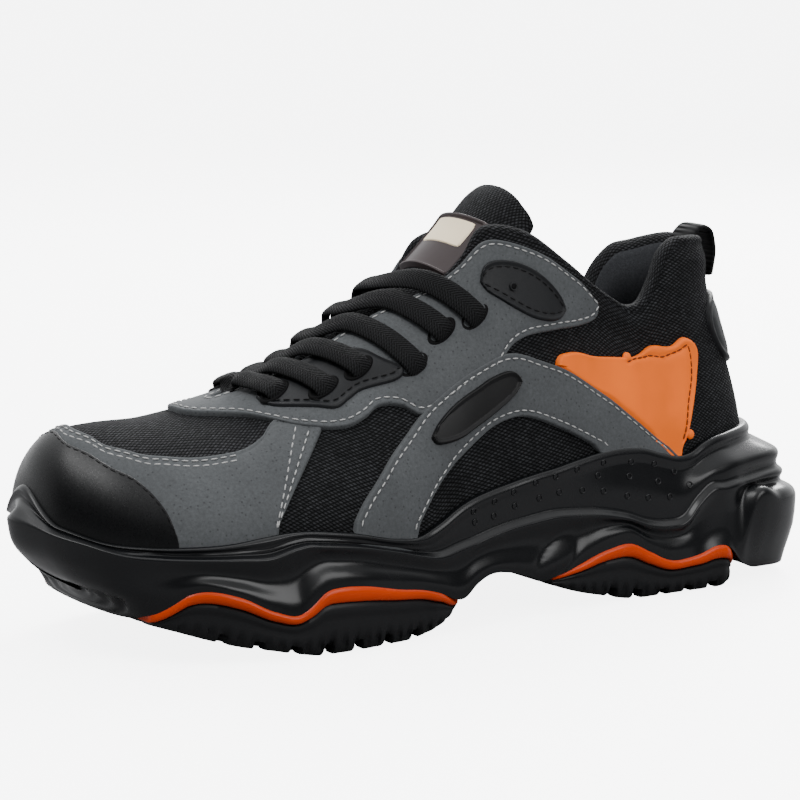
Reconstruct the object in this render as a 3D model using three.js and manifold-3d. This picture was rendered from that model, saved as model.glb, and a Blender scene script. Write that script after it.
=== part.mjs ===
// Steel toe safety shoe, left foot, size about EU 43, made as its maker puts it together:
// a moulded midsole on two rubber treads with a coloured inlay, a hollow knit upper set in
// the midsole's cup, and stitched and moulded overlays, tongue, insole and laces on it.
// Millimetres. +Z is up, the toe points to -X and the outer side of the foot faces -Y.
import * as THREE from 'three';
import { mergeVertices } from 'three/addons/utils/BufferGeometryUtils.js';
import Module from 'manifold-3d';

const wasm = await Module();
wasm.setup();

// Driving sizes
const LENGTH = 310; // sole, from heel bumper to toe
const WIDTH = 116; // sole across the ball of the foot
const SOLE_HEIGHT = 55; // floor to the sole's rim at the heel
const UPPER_HEIGHT = 133; // floor to the front corner of the collar
const UPPER_WALL = 2.6; // knit with its lining
const COLLAR_PAD = 3.4; // foam added inside the collar
const GAP = 0.3; // between pieces that touch on the real shoe
const OVERLAY = 1.3; // suede mudguard and eyestay
const TOE_OVERLAY = 1.7; // smooth toe cap
const BAND_THICK = 2.1; // side band
const PANEL_THICK = 2.1; // moulded heel panel
const PATCH_THICK = 1.1; // small patches on an overlay
const BEAD_OUT = 3.2; // rim bead, proud of the upper
const LIP_OUT = 2.0; // thickness of the rim's lip
const GROOVE_OUT = 2.3; // groove under the bead
const TOE_PEAK = 10; // rise of the rim over the toe's tip
const PANEL_LIFT = 0.55; // lower edges of the panels above the rim
const CUP_FLOOR_GAP = 0.4; // upper's lower edge above the cup's floor
const CUP_GAP = 0.7; // round the upper's lower edge
const INSOLE_THICK = 5;
const INSOLE_CLEAR = 0.6; // insole's edge from the upper's wall
const TONGUE_THICK = 6; // at its foot
const TONGUE_TOP_THICK = 15; // padded top
const TONGUE_HALF = 21; // half width near the top
const TONGUE_FOOT_HALF = 15; // half width at its foot
const TONGUE_CROWN = 0.026; // drop of its sides per square millimetre
const LABEL_WIDTH = 34;
const LABEL_THICK = 2;
const LABEL_LIFT = 0.6; // over the facets of the tongue
const LABEL_ROWS = [7.1, 7.5, 8, 8.4, 8.85]; // places along the tongue's middle line
const LACE_WIDTH = 8;
const LACE_THICK = 1.9;
const LOOP_WIDTH = 13;
const LOOP_THICK = 1.8;
const LUG_DEPTH = 3;
const LUG_PITCH = 10.5;
const LUG_SLOT = 3.4;
const LUG_DRAFT = 0.5;

const L = LENGTH / 100;
const W = WIDTH / 100;
const S = SOLE_HEIGHT / 100;
const U = UPPER_HEIGHT / 100;

// The upper, a row for each section round its edge: a runs 0 at the heel, 1 at the toe tip.
// Feather line (its lower edge) and top edge: t from the heel and half widths, then the
// curve between them: rise and lean leave the feather line, reach and drop meet the top.
// t in percent of the length, widths of the width, zf of the sole, the other heights of
// the upper's height.
const UPPER_COLUMNS = ['a', 'tf', 'lat', 'med', 'zf', 'te', 'half', 'ze', 'rise', 'lean', 'reach', 'drop'];
const UPPER_ROWS = [
  [0.00, 5.8, 0, 0, 65.5, 10.0, 0, 89.5, 19.5, 4.3, 1.7, 21.0],
  [0.05, 7.1, 13.8, 13.8, 65.5, 11.6, 9.5, 91.0, 19.5, 4.3, 1.7, 21.0],
  [0.12, 12.3, 24.1, 24.1, 63.5, 16.5, 18.1, 88.7, 18.0, 4.3, 2.6, 19.5],
  [0.20, 20.0, 29.3, 28.4, 62.0, 24.5, 22.4, 77.0, 16.5, 4.3, 3.4, 16.5],
  [0.30, 30.6, 31.9, 29.3, 58.0, 33.5, 23.3, 89.5, 19.5, 4.3, 3.4, 19.5],
  [0.35, 35.8, 33.6, 28.0, 55.5, 38.7, 22.4, 98.0, 22.6, 4.3, 5.2, 20.3],
  [0.40, 41.3, 35.3, 27.6, 52.7, 44.2, 20.7, 100.0, 25.6, 4.3, 6.9, 19.5],
  [0.45, 46.5, 36.4, 28.4, 51.0, 47.4, 19.0, 92.0, 25.6, 4.7, 9.5, 15.0],
  [0.50, 51.6, 38.6, 29.7, 49.0, 50.6, 16.4, 86.0, 25.6, 5.2, 12.0, 10.5],
  [0.55, 56.5, 41.4, 32.3, 48.0, 54.8, 12.1, 81.6, 24.8, 5.2, 13.8, 8.3],
  [0.60, 61.3, 44.0, 35.3, 47.3, 59.4, 9.5, 76.3, 24.0, 5.2, 15.5, 6.8],
  [0.68, 69.0, 45.7, 39.7, 47.3, 66.5, 6.9, 67.0, 22.6, 5.2, 17.2, 3.8],
  [0.75, 75.5, 44.0, 42.7, 49.0, 73.9, 0, 60.5, 21.0, 5.2, 20.7, 1.5],
  [0.82, 81.9, 39.7, 41.4, 52.7, 78.4, 0, 58.3, 20.3, 4.3, 20.7, 0],
  [0.88, 87.4, 33.6, 37.1, 56.4, 82.9, 0, 57.1, 19.5, 4.3, 18.0, 0],
  [0.94, 93.2, 20.7, 26.7, 62.0, 87.4, 0, 56.9, 18.8, 4.8, 19.0, 0],
  [0.97, 95.6, 10.0, 17.5, 63.0, 89.4, 0, 56.7, 18.4, 6.0, 25.0, 0],
  [1.00, 96.3, -5.2, 5.2, 63.6, 90.0, 0, 56.5, 18.0, 6.2, 26.5, 0],
];
// The vamp's ridge line swings to the inner side towards the toe, in percent of the width.
const RIDGE_SWING = { a: [0, 0.75, 0.88, 1], y: [0, 0, 2.2, 5.2] };
const THROAT_END = 0.75; // where the two halves of the vamp meet

// The sole's widest outline: t in percent of the length, half widths of the width.
const OUTLINE_COLUMNS = ['a', 't', 'lat', 'med'];
const OUTLINE_ROWS = [
  [0.000, 0.0, 0, 0],
  [0.030, 0.8, 17.7, 17.2],
  [0.070, 3.2, 28.9, 27.6],
  [0.120, 10.3, 37.0, 35.8],
  [0.200, 19.4, 39.7, 38.8],
  [0.300, 30.6, 40.5, 37.5],
  [0.400, 41.3, 41.8, 35.3],
  [0.500, 51.6, 45.7, 37.5],
  [0.600, 61.3, 50.9, 42.5],
  [0.680, 69.0, 53.0, 46.6],
  [0.750, 76.1, 51.3, 48.7],
  [0.820, 83.2, 46.6, 47.4],
  [0.880, 89.4, 38.8, 41.8],
  [0.940, 95.2, 25.0, 27.6],
  [0.975, 98.4, 10.8, 12.1],
  [1.000, 99.9, -2.6, 2.6],
];

// Heights of the side's edges along the sole: lower edge over the inlay or arch, lip of the
// flare, hollow above it, the S-shaped step, and the rim. t in percent of the length,
// heights of the sole's height.
const LEVEL_COLUMNS = ['t', 'edge', 'flare', 'hollow', 'step', 'rim'];
const LEVEL_ROWS = [
  [0.0, 5.5, 54.5, 60, 67.5, 100],
  [6.5, 7, 56.5, 62, 67.5, 100],
  [11.0, 11, 54.5, 61, 66.5, 99],
  [12.6, 15.5, 28, 54.5, 66.5, 98.5],
  [14.8, 27, 36.5, 54.5, 65.5, 97.5],
  [16.8, 29, 36.5, 54.5, 65.5, 94.5],
  [18.7, 25.5, 33.5, 49, 58, 90],
  [20.6, 23.5, 32.5, 41, 47.5, 89],
  [23.2, 23.5, 32, 39, 45.5, 92.5],
  [26.1, 31, 38, 42.5, 48, 97.5],
  [28.7, 38, 46.5, 50, 53.5, 99],
  [31.9, 36.5, 45.5, 52, 58, 98.5],
  [36.1, 29, 36.5, 50, 61, 95.5],
  [39.4, 23.5, 32.5, 49, 62, 92.5],
  [41.0, 22, 32, 48, 61.5, 91.5],
  [42.9, 26.5, 34.5, 49, 60.5, 90],
  [45.5, 31, 37.5, 49, 59, 87.5],
  [49.0, 32, 37.5, 47.5, 55.5, 84],
  [50.6, 28, 34.5, 45.5, 53.5, 82],
  [52.3, 21, 29, 42, 52, 79],
  [56.1, 27, 33.5, 42, 49, 69],
  [58.4, 31, 37.5, 44.5, 52, 64.5],
  [61.9, 34.5, 42, 49, 57.5, 65.5],
  [67.4, 41, 47.5, 56.5, 64.5, 72],
  [69.7, 42, 49, 58, 66.5, 74],
  [71.9, 40, 48, 59, 68, 75.5],
  [73.5, 32.5, 42, 56.5, 69, 76],
  [74.8, 28, 35.5, 52, 68, 76],
  [77.7, 31, 38, 49, 63.5, 74.5],
  [81.3, 41, 45.5, 52.5, 64, 72],
  [85.5, 45.5, 50, 56.5, 65, 71.5],
  [89.4, 37.5, 45.5, 56.5, 66.5, 72.5],
  [92.9, 32.5, 45.5, 58, 69, 75.5],
  [95.5, 34.5, 47.5, 62, 74.5, 81],
  [97.7, 36.5, 49, 65.5, 82.5, 84.5],
  [99.0, 37.5, 50, 67.5, 89, 87],
  [100.0, 38, 51, 69, 92.5, 89],
];

// How far each edge lies inside the widest outline, in percent of the width.
const INSET_COLUMNS = ['t', 'edge', 'flare', 'hollow', 'step', 'ledge', 'wall'];
const INSET_ROWS = [
  [0.0, 4.3, 0, 5.2, 3.4, 6.9, 4.7],
  [11.0, 3.4, 0, 5.2, 3.4, 6.5, 4.7],
  [12.9, 2.2, 1.9, 4.3, 3.0, 5.4, 4.6],
  [22.6, 2.2, 1.9, 3.9, 2.4, 3.8, 4.0],
  [51.6, 2.2, 1.9, 3.6, 2.2, 3.4, 3.4],
  [84.5, 2.2, 1.9, 3.6, 2.6, 3.8, 4.2],
  [89.4, 3.4, 2.2, 2.6, 2.2, 3.6, 4.0],
  [94.2, 11.2, 4.3, 2.2, 0.9, 1.7, 2.6],
  [97.7, 18.0, 7.8, 2.6, 0.4, 0.9, 2.2],
  [100.0, 22.4, 10.3, 3.4, 0.4, 0.9, 2.4],
];

// The two treads: how thick the inlay is over them and how high their wearing face lies.
const TREAD_COLUMNS = ['t', 'inlay', 'floor', 'round'];
const FOREFOOT_TREAD = [
  [52.4, 4.0, 15.0, 0.90],
  [54.2, 5.0, 8.0, 0.97],
  [56.1, 5.5, 4.0, 1],
  [58.4, 6.0, 1.2, 1],
  [60.3, 6.4, 0, 1],
  [72.3, 8.5, 0, 1],
  [74.8, 5.5, 2.5, 1],
  [77.7, 6.0, 6.0, 1],
  [81.3, 7.3, 10.0, 1],
  [84.2, 7.3, 14.5, 1],
  [88.5, 5.8, 22.0, 1],
  [91.0, 4.4, 25.0, 1],
  [93.9, 3.6, 27.0, 1],
  [96.0, 3.4, 28.5, 0.98],
  [97.7, 3.2, 30.0, 0.95],
];
const HEEL_TREAD = [
  [12.4, 4.0, 6.0, 0.80],
  [13.5, 6.0, 3.0, 0.92],
  [15.2, 8.5, 0.4, 1],
  [16.2, 9.0, 0, 1],
  [20.4, 6.4, 0, 1],
  [23.2, 6.4, 0, 1],
  [26.1, 8.2, 0, 1],
  [28.4, 9.0, 0.8, 1],
  [31.9, 7.5, 5.0, 1],
  [36.1, 4.8, 11.0, 1],
  [39.2, 3.0, 17.0, 0.95],
];

// Panels of the upper, as pairs of places on its face, a row for each pair. a is the
// upper's own, w runs 0 at the sole's rim and 1 at the top edge.
const TOE_CAP = [
  [0.868, 0.00, 0.868, 0.03],
  [0.885, 0.00, 0.876, 0.17],
  [0.900, 0.00, 0.888, 0.27],
  [0.915, 0.00, 0.906, 0.37],
  [0.935, 0.00, 0.925, 0.43],
  [0.955, 0.00, 0.950, 0.53],
  [0.975, 0.00, 0.975, 0.60],
  [1.000, 0.00, 1.000, 0.65],
];
const MUDGUARD = [
  [1.000, 0.55, 1.000, 0.82],
  [0.975, 0.50, 0.975, 0.78],
  [0.950, 0.42, 0.955, 0.71],
  [0.925, 0.30, 0.935, 0.61],
  [0.905, 0.20, 0.915, 0.57],
  [0.886, 0.10, 0.895, 0.53],
  [0.874, 0.00, 0.875, 0.515],
  [0.850, 0.00, 0.845, 0.49],
  [0.820, 0.00, 0.806, 0.48],
  [0.790, 0.00, 0.768, 0.485],
  [0.770, 0.00, 0.741, 0.53],
  [0.762, 0.00, 0.718, 0.62],
  [0.759, 0.00, 0.676, 0.50],
];
const EYESTAY = [
  [0.262, 0.855, 0.268, 0.91],
  [0.280, 0.735, 0.288, 0.943],
  [0.310, 0.630, 0.315, 0.943],
  [0.345, 0.555, 0.345, 0.932],
  [0.385, 0.515, 0.372, 0.940],
  [0.412, 0.480, 0.393, 0.955],
  [0.440, 0.430, 0.418, 0.968],
  [0.475, 0.420, 0.450, 0.985],
  [0.515, 0.400, 0.495, 0.985],
  [0.554, 0.420, 0.550, 0.985],
  [0.575, 0.490, 0.580, 0.985],
  [0.602, 0.520, 0.610, 0.985],
  [0.622, 0.490, 0.640, 0.985],
  [0.644, 0.470, 0.665, 0.985],
  [0.667, 0.480, 0.690, 0.985],
  [0.704, 0.550, 0.715, 0.985],
  [0.723, 0.620, 0.735, 0.985],
  [0.750, 0.720, 0.745, 0.985],
  [0.785, 0.800, 0.754, 0.985],
  [0.815, 0.860, 0.760, 0.992],
  [0.832, 0.940, 0.763, 0.997],
  [0.836, 1.000, 0.764, 1.000],
];
const EYESTAY_PATCH = [
  [0.726, 0.77, 0.722, 0.83],
  [0.716, 0.715, 0.712, 0.90],
  [0.700, 0.67, 0.695, 0.945],
  [0.680, 0.625, 0.680, 0.955],
  [0.657, 0.585, 0.660, 0.95],
  [0.635, 0.61, 0.638, 0.91],
  [0.606, 0.61, 0.612, 0.84],
  [0.580, 0.585, 0.590, 0.75],
  [0.562, 0.575, 0.572, 0.66],
];
const ANKLE_PATCH = [
  [0.421, 0.765, 0.420, 0.83],
  [0.412, 0.72, 0.410, 0.85],
  [0.400, 0.68, 0.395, 0.845],
  [0.375, 0.64, 0.370, 0.825],
  [0.350, 0.63, 0.345, 0.80],
  [0.328, 0.64, 0.322, 0.785],
  [0.309, 0.675, 0.305, 0.75],
];
const SIDE_BAND = [
  [0.667, 0.00, 0.582, 0.00],
  [0.650, 0.11, 0.568, 0.06],
  [0.625, 0.22, 0.545, 0.125],
  [0.591, 0.34, 0.520, 0.16],
  [0.552, 0.42, 0.500, 0.18],
  [0.517, 0.45, 0.476, 0.21],
  [0.480, 0.48, 0.457, 0.23],
  [0.439, 0.49, 0.437, 0.235],
  [0.402, 0.46, 0.415, 0.225],
  [0.372, 0.42, 0.390, 0.195],
  [0.340, 0.38, 0.362, 0.14],
  [0.310, 0.33, 0.335, 0.075],
  [0.282, 0.27, 0.318, 0.03],
  [0.258, 0.19, 0.300, 0.00],
  [0.235, 0.11, 0.272, 0.00],
  [0.214, 0.04, 0.245, 0.00],
];
const BAND_PAD = [
  [0.547, 0.310, 0.544, 0.345],
  [0.525, 0.260, 0.520, 0.365],
  [0.500, 0.245, 0.495, 0.382],
  [0.474, 0.250, 0.470, 0.400],
  [0.448, 0.270, 0.445, 0.420],
  [0.423, 0.290, 0.420, 0.410],
  [0.405, 0.320, 0.403, 0.362],
];
const HEEL_PANEL = [
  [0.356, 0.36, 0.350, 0.425],
  [0.330, 0.30, 0.315, 0.485],
  [0.305, 0.25, 0.275, 0.53],
  [0.285, 0.20, 0.241, 0.60],
  [0.260, 0.12, 0.205, 0.655],
  [0.240, 0.05, 0.175, 0.68],
  [0.225, 0.00, 0.152, 0.645],
  [0.215, 0.00, 0.137, 0.57],
  [0.210, 0.00, 0.134, 0.46],
  [0.206, 0.00, 0.146, 0.35],
  [0.203, 0.00, 0.165, 0.22],
  [0.200, 0.00, 0.182, 0.11],
];
const HEEL_TAB = [
  [0.092, 0.45, 0.092, 0.60],
  [0.070, 0.36, 0.072, 0.67],
  [0.035, 0.32, 0.038, 0.73],
  [0.000, 0.30, 0.000, 0.75],
];
// Lace slots on the outer side, from the toe end up; the inner side is the same.
// over is where the lace passes the upper's top edge.
const SLOTS = [
  { a: 0.707, w: 0.78, over: 0.728 },
  { a: 0.660, w: 0.69, over: 0.694 },
  { a: 0.612, w: 0.71, over: 0.652 },
  { a: 0.547, w: 0.62, over: 0.598 },
  { a: 0.502, w: 0.71, over: 0.546 },
  { a: 0.450, w: 0.70, over: 0.496 },
];
// Where each lace crosses the tongue: t in percent of the length, height of the upper's.
const CREST = [
  { t: 72.5, z: 63.8 },
  { t: 69.2, z: 66.6 },
  { t: 66.0, z: 70.2 },
  { t: 62.4, z: 75.2 },
  { t: 58.2, z: 81.4 },
  { t: 54.0, z: 87.3 },
];
// The tongue's middle line from foot to top: t and height as above, then how far along
// its widths and thickness it is, 0 at the foot and 1 at the padded top.
const TONGUE = [
  { t: 77.5, z: 54.0, wide: 0.0, thick: 0.0 },
  { t: 74.8, z: 55.4, wide: 0.05, thick: 0.0 },
  { t: 70.5, z: 60.2, wide: 0.15, thick: 0.05 },
  { t: 66.5, z: 65.2, wide: 0.3, thick: 0.1 },
  { t: 62.5, z: 70.9, wide: 0.45, thick: 0.15 },
  { t: 58.0, z: 77.7, wide: 0.65, thick: 0.2 },
  { t: 54.0, z: 83.4, wide: 0.8, thick: 0.3 },
  { t: 48.8, z: 89.0, wide: 0.95, thick: 0.4 },
  { t: 44.5, z: 97.5, wide: 1.0, thick: 0.65 },
  { t: 41.5, z: 103.5, wide: 1.0, thick: 0.9 },
  { t: 39.2, z: 107.8, wide: 0.92, thick: 1.0 },
  { t: 37.2, z: 110.2, wide: 0.72, thick: 0.75 },
  { t: 35.9, z: 110.6, wide: 0.42, thick: 0.38 },
];
// Webbing loop at the heel: its arch over the collar's edge, from inside to outside, as
// distances behind and above the edge; its two ends lie on the upper's inner and outer face.
const LOOP_ARCH = [
  { behind: -8.5, above: 2.5 },
  { behind: -3, above: 9 },
  { behind: 3.5, above: 9 },
  { behind: 6.5, above: 1.5 },
];
const LOOP_ENDS = { inside: 0.9, outside: 0.86 };
const COLLAR_ROUND = 3; // how far the collar's inside curves forward across the loop

// Smooth curve through the rows of a table, and its closed form round the shoe.
function smooth(xs, ys, x) {
  const last = xs.length - 1;
  let k = 0;
  while (k < last - 1 && x >= xs[k + 1]) k += 1;
  const h = xs[k + 1] - xs[k];
  const u = Math.min(Math.max((x - xs[k]) / h, 0), 1);
  const chord = (i) => (ys[i + 1] - ys[i]) / (xs[i + 1] - xs[i]);
  const slope = (i) => {
    if (i === 0) return chord(0);
    if (i === last) return chord(last - 1);
    const before = xs[i] - xs[i - 1];
    const after = xs[i + 1] - xs[i];
    return (chord(i - 1) * after + chord(i) * before) / (before + after);
  };
  const v = 1 - u;
  return ys[k] * (1 + 2 * u) * v * v + slope(k) * h * u * v * v
    + ys[k + 1] * u * u * (3 - 2 * u) - slope(k + 1) * h * u * u * v;
}

// Straight lines through the rows, for faces that lie flat on each other.
function straight(xs, ys, x) {
  let k = 0;
  while (k < xs.length - 2 && x > xs[k + 1]) k += 1;
  const u = Math.min(Math.max((x - xs[k]) / (xs[k + 1] - xs[k]), 0), 1);
  return ys[k] + (ys[k + 1] - ys[k]) * u;
}

function column(rows, names, name) {
  const i = names.indexOf(name);
  return rows.map((row) => row[i]);
}

// The outer side's rows run 0 to 1 and the inner side's back from 1 to 2.
function roundTheShoe(rows, names, outer, inner, sign) {
  const a = column(rows, names, 'a');
  const out = column(rows, names, outer).map((value) => sign * value);
  const back = column(rows, names, inner);
  const xs = [];
  const ys = [];
  for (const turn of [-2, 0, 2]) {
    for (let i = 0; i < a.length; i += 1) {
      xs.push(a[i] + turn);
      ys.push(out[i]);
    }
    for (let i = a.length - 2; i > 0; i -= 1) {
      xs.push(2 - a[i] + turn);
      ys.push(back[i]);
    }
  }
  return (x) => smooth(xs, ys, ((x % 2) + 2) % 2);
}

function along(rows, names, name) {
  const xs = column(rows, names, 't');
  const ys = column(rows, names, name);
  return (x) => smooth(xs, ys, Math.min(Math.max(x, xs[0]), xs[xs.length - 1]));
}

const same = (name) => roundTheShoe(UPPER_ROWS, UPPER_COLUMNS, name, name, 1);
const upperT = same('tf');
const upperY = roundTheShoe(UPPER_ROWS, UPPER_COLUMNS, 'lat', 'med', -1);
const upperZ = same('zf');
const edgeT = same('te');
const edgeY = roundTheShoe(UPPER_ROWS, UPPER_COLUMNS, 'half', 'half', -1);
const edgeZ = same('ze');
const rise = same('rise');
const lean = same('lean');
const reach = same('reach');
const drop = same('drop');
const outlineT = roundTheShoe(OUTLINE_ROWS, OUTLINE_COLUMNS, 't', 't', 1);
const outlineY = roundTheShoe(OUTLINE_ROWS, OUTLINE_COLUMNS, 'lat', 'med', -1);
const level = {};
for (const name of LEVEL_COLUMNS.slice(1)) level[name] = along(LEVEL_ROWS, LEVEL_COLUMNS, name);
const inset = {};
for (const name of INSET_COLUMNS.slice(1)) inset[name] = along(INSET_ROWS, INSET_COLUMNS, name);

const towardsToe = (a) => Math.min(a % 2, 2 - (a % 2));
const ramp = (x, from, to) => {
  const k = Math.min(Math.max((x - from) / (to - from), 0), 1);
  return k * k * (3 - 2 * k);
};

const ridgeSwing = (m) => straight(RIDGE_SWING.a, RIDGE_SWING.y, m);

// Outward direction in plan of a closed curve given by its t and y.
function outwards(tOf, yOf, a) {
  const e = 0.001;
  const dt = (tOf(a + e) - tOf(a - e)) * L;
  const dy = (yOf(a + e) - yOf(a - e)) * W;
  const n = Math.hypot(dt, dy);
  return { x: -dy / n, y: -dt / n };
}

// Point of the upper's skin, v from 0 at the feather line to 1 at the top edge.
function skin(a, v) {
  const m = towardsToe(a);
  const tf = upperT(a) * L;
  const yf = upperY(a) * W;
  const zf = upperZ(a) * S;
  const te = edgeT(a) * L;
  const ye = (m >= THROAT_END ? 0 : edgeY(a) * W) + ridgeSwing(m) * W;
  const ze = edgeZ(a) * U;
  const out = outwards(upperT, upperY, a);
  const gt = tf - te;
  const gy = yf - ye;
  const g = Math.hypot(gt, gy);
  const r = (reach(a) * W) / g;
  const closed = ramp(m, THROAT_END - 0.05, THROAT_END + 0.07);
  const e = 0.02;
  const fall = ((edgeZ(m + e) - edgeZ(m - e)) * U) / ((edgeT(m + e) - edgeT(m - e)) * L);
  const slope = m > 1 - e ? 0.05 : Math.max(Math.min(fall, 1), -1);
  const p = [tf, yf, zf];
  const q = [tf - out.x * lean(a) * W, yf + out.y * lean(a) * W, zf + rise(a) * U];
  const s = [te + gt * r, ye + gy * r, ze - drop(a) * U * (1 - closed) + closed * slope * gt * r];
  const b = [(1 - v) ** 3, 3 * v * (1 - v) ** 2, 3 * v * v * (1 - v), v ** 3];
  const at = (i, end) => b[0] * p[i] + b[1] * q[i] + b[2] * s[i] + b[3] * end;
  return new THREE.Vector3(LENGTH / 2 - at(0, te), at(1, ye), at(2, ze));
}

function faceNormal(a, v) {
  const e = 0.002;
  const low = Math.max(v - e, 0);
  const high = Math.min(v + e, 0.995);
  const da = skin(a + e, Math.min(v, 0.99)).sub(skin(a - e, Math.min(v, 0.99)));
  const dv = skin(a, Math.max(high, low + e)).sub(skin(a, low));
  return dv.cross(da).normalize();
}

// Point a height h off the upper's skin. The two halves share one line along the ridge.
function onUpper(a, v, h) {
  const m = towardsToe(a);
  if (v < 0.999 || m < THROAT_END - 1e-6) return skin(a, v).addScaledVector(faceNormal(a, v), h);
  const near = Math.round(m * 1e6) / 1e6;
  const n = faceNormal(near, v).add(faceNormal(2 - near, v)).normalize();
  return skin(near, v).addScaledVector(n, h);
}

// Where the skin passes a given height over the sole's edges at the same t.
function crossing(a, heightAt) {
  let low = 0;
  let high = 0.7;
  for (let i = 0; i < 24; i += 1) {
    const v = (low + high) / 2;
    const p = skin(a, v);
    const t = (LENGTH / 2 - p.x) / L;
    if (p.z < heightAt(t)) low = v;
    else high = v;
  }
  return (low + high) / 2;
}

// The rim rises to a short peak over the toe's tip.
function rimHeight(a, t) {
  return level.rim(t) * S + TOE_PEAK * (1 - ramp(1 - towardsToe(a), 0, 0.035));
}

const rimStart = (a) => crossing(a, (t) => rimHeight(a, t) + PANEL_LIFT);

function onPanel(a, w, h) {
  const from = rimStart(a);
  return onUpper(a, from + w * (1 - from), h);
}

// Closed bodies from grids of points. Triangles are turned to face out by their volume.
class Body {
  constructor() {
    this.points = [];
    this.faces = [];
  }

  add(p) {
    this.points.push(p.x, p.y, p.z);
    return this.points.length / 3 - 1;
  }

  quad(a, b, c, d) {
    this.faces.push(a, b, c, a, c, d);
  }

  strip(one, two, closed) {
    const n = one.length;
    for (let i = 0; i < (closed ? n : n - 1); i += 1) {
      const j = (i + 1) % n;
      this.quad(one[i], one[j], two[j], two[i]);
    }
  }

  geometry() {
    let geometry = new THREE.BufferGeometry();
    geometry.setAttribute('position', new THREE.Float32BufferAttribute(this.points, 3));
    geometry.setIndex(this.faces);
    geometry = mergeVertices(geometry, 1e-4);
    const old = geometry.index.array;
    const kept = [];
    for (let i = 0; i < old.length; i += 3) {
      const [a, b, c] = [old[i], old[i + 1], old[i + 2]];
      if (a !== b && b !== c && c !== a) kept.push(a, b, c);
    }
    const p = geometry.getAttribute('position');
    let volume = 0;
    const corner = [new THREE.Vector3(), new THREE.Vector3(), new THREE.Vector3()];
    for (let i = 0; i < kept.length; i += 3) {
      for (let k = 0; k < 3; k += 1) corner[k].fromBufferAttribute(p, kept[i + k]);
      volume += corner[0].dot(corner[1].clone().cross(corner[2]));
    }
    if (volume < 0) {
      for (let i = 0; i < kept.length; i += 3) [kept[i], kept[i + 1]] = [kept[i + 1], kept[i]];
    }
    geometry.setIndex(kept);
    return geometry;
  }
}

function asSolid(geometry) {
  const position = geometry.getAttribute('position');
  return new wasm.Manifold(new wasm.Mesh({
    numProp: 3,
    vertProperties: new Float32Array(position.array),
    triVerts: new Uint32Array(geometry.index.array),
  }));
}

function asGeometry(solid) {
  const mesh = solid.getMesh();
  const geometry = new THREE.BufferGeometry();
  geometry.setAttribute('position', new THREE.BufferAttribute(new Float32Array(mesh.vertProperties), 3));
  geometry.setIndex(new THREE.BufferAttribute(new Uint32Array(mesh.triVerts), 1));
  return mergeVertices(geometry, 1e-5);
}

// Body between two grids of points, a top and a bottom, with walls round its border.
function between(top, bottom) {
  const body = new Body();
  const upper = top.map((line) => line.map((p) => body.add(p)));
  const lower = bottom.map((line) => line.map((p) => body.add(p)));
  for (let i = 0; i + 1 < upper.length; i += 1) {
    body.strip(upper[i], upper[i + 1], false);
    body.strip(lower[i + 1], lower[i], false);
  }
  const last = upper.length - 1;
  body.strip(lower[0], upper[0], false);
  body.strip(upper[last], lower[last], false);
  const side = (grid, j) => grid.map((line) => line[j]);
  const end = upper[0].length - 1;
  body.strip(side(upper, 0), side(lower, 0), false);
  body.strip(side(lower, end), side(upper, end), false);
  return body.geometry();
}

// Body through closed sections, each a loop with as many points as the next.
function loft(sections) {
  const body = new Body();
  const loops = sections.map((loop) => loop.map((p) => body.add(p)));
  for (let i = 0; i + 1 < loops.length; i += 1) body.strip(loops[i], loops[i + 1], true);
  for (const [loop, flip] of [[loops[0], true], [loops[loops.length - 1], false]]) {
    const n = loop.length;
    for (let k = 0; k < n / 2 - 1; k += 1) {
      const face = [loop[k], loop[k + 1], loop[n - 2 - k], loop[n - 1 - k]];
      body.quad(...(flip ? face.reverse() : face));
    }
  }
  return body.geometry();
}

// Stations from heel to toe, and the whole ring with the inner side's in return.
function ring(half) {
  const back = half.slice(1, -1).reverse().map((a) => 2 - a);
  return [...half, ...back];
}

const UPPER_HALF = [
  0, 0.03, 0.065, 0.11, 0.155, 0.2, 0.25, 0.3, 0.335, 0.37, 0.4, 0.43, 0.47, 0.515, 0.57,
  0.625, 0.68, 0.715, 0.75, 0.79, 0.83, 0.87, 0.905, 0.935, 0.96, 0.982, 1,
];
const UPPER_LEVELS = [0, 0.15, 0.32, 0.5, 0.68, 0.84, 0.94, 1];
const upperRing = ring(UPPER_HALF);

// Closes a ring across, from each station to its opposite; below it faces down.
function fill(body, line, below) {
  const n = line.length;
  for (let i = 0; i < n / 2; i += 1) {
    const face = [line[i], line[i + 1], line[(n - i - 1) % n], line[(n - i) % n]];
    body.quad(...(below ? face.reverse() : face));
  }
}

// The upper's outer form at a height h, closed over its openings: overlays are cut from it.
function upperForm(h) {
  const body = new Body();
  const lines = UPPER_LEVELS.map((v) => upperRing.map((a) => body.add(onUpper(a, v, h))));
  for (let j = 0; j + 1 < lines.length; j += 1) body.strip(lines[j], lines[j + 1], true);
  fill(body, lines[0], true);
  fill(body, lines[lines.length - 1], false);
  return asSolid(body.geometry());
}

// The wall is thicker at the padded collar, and rounds over its edge.
function wallAt(a, v) {
  const m = towardsToe(a);
  const collar = 1 - ramp(m, 0.36, 0.46);
  return UPPER_WALL + COLLAR_PAD * collar * ramp(v, 0.5, 0.8) * (1 - 0.6 * ramp(v, 0.9, 1));
}

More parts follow.
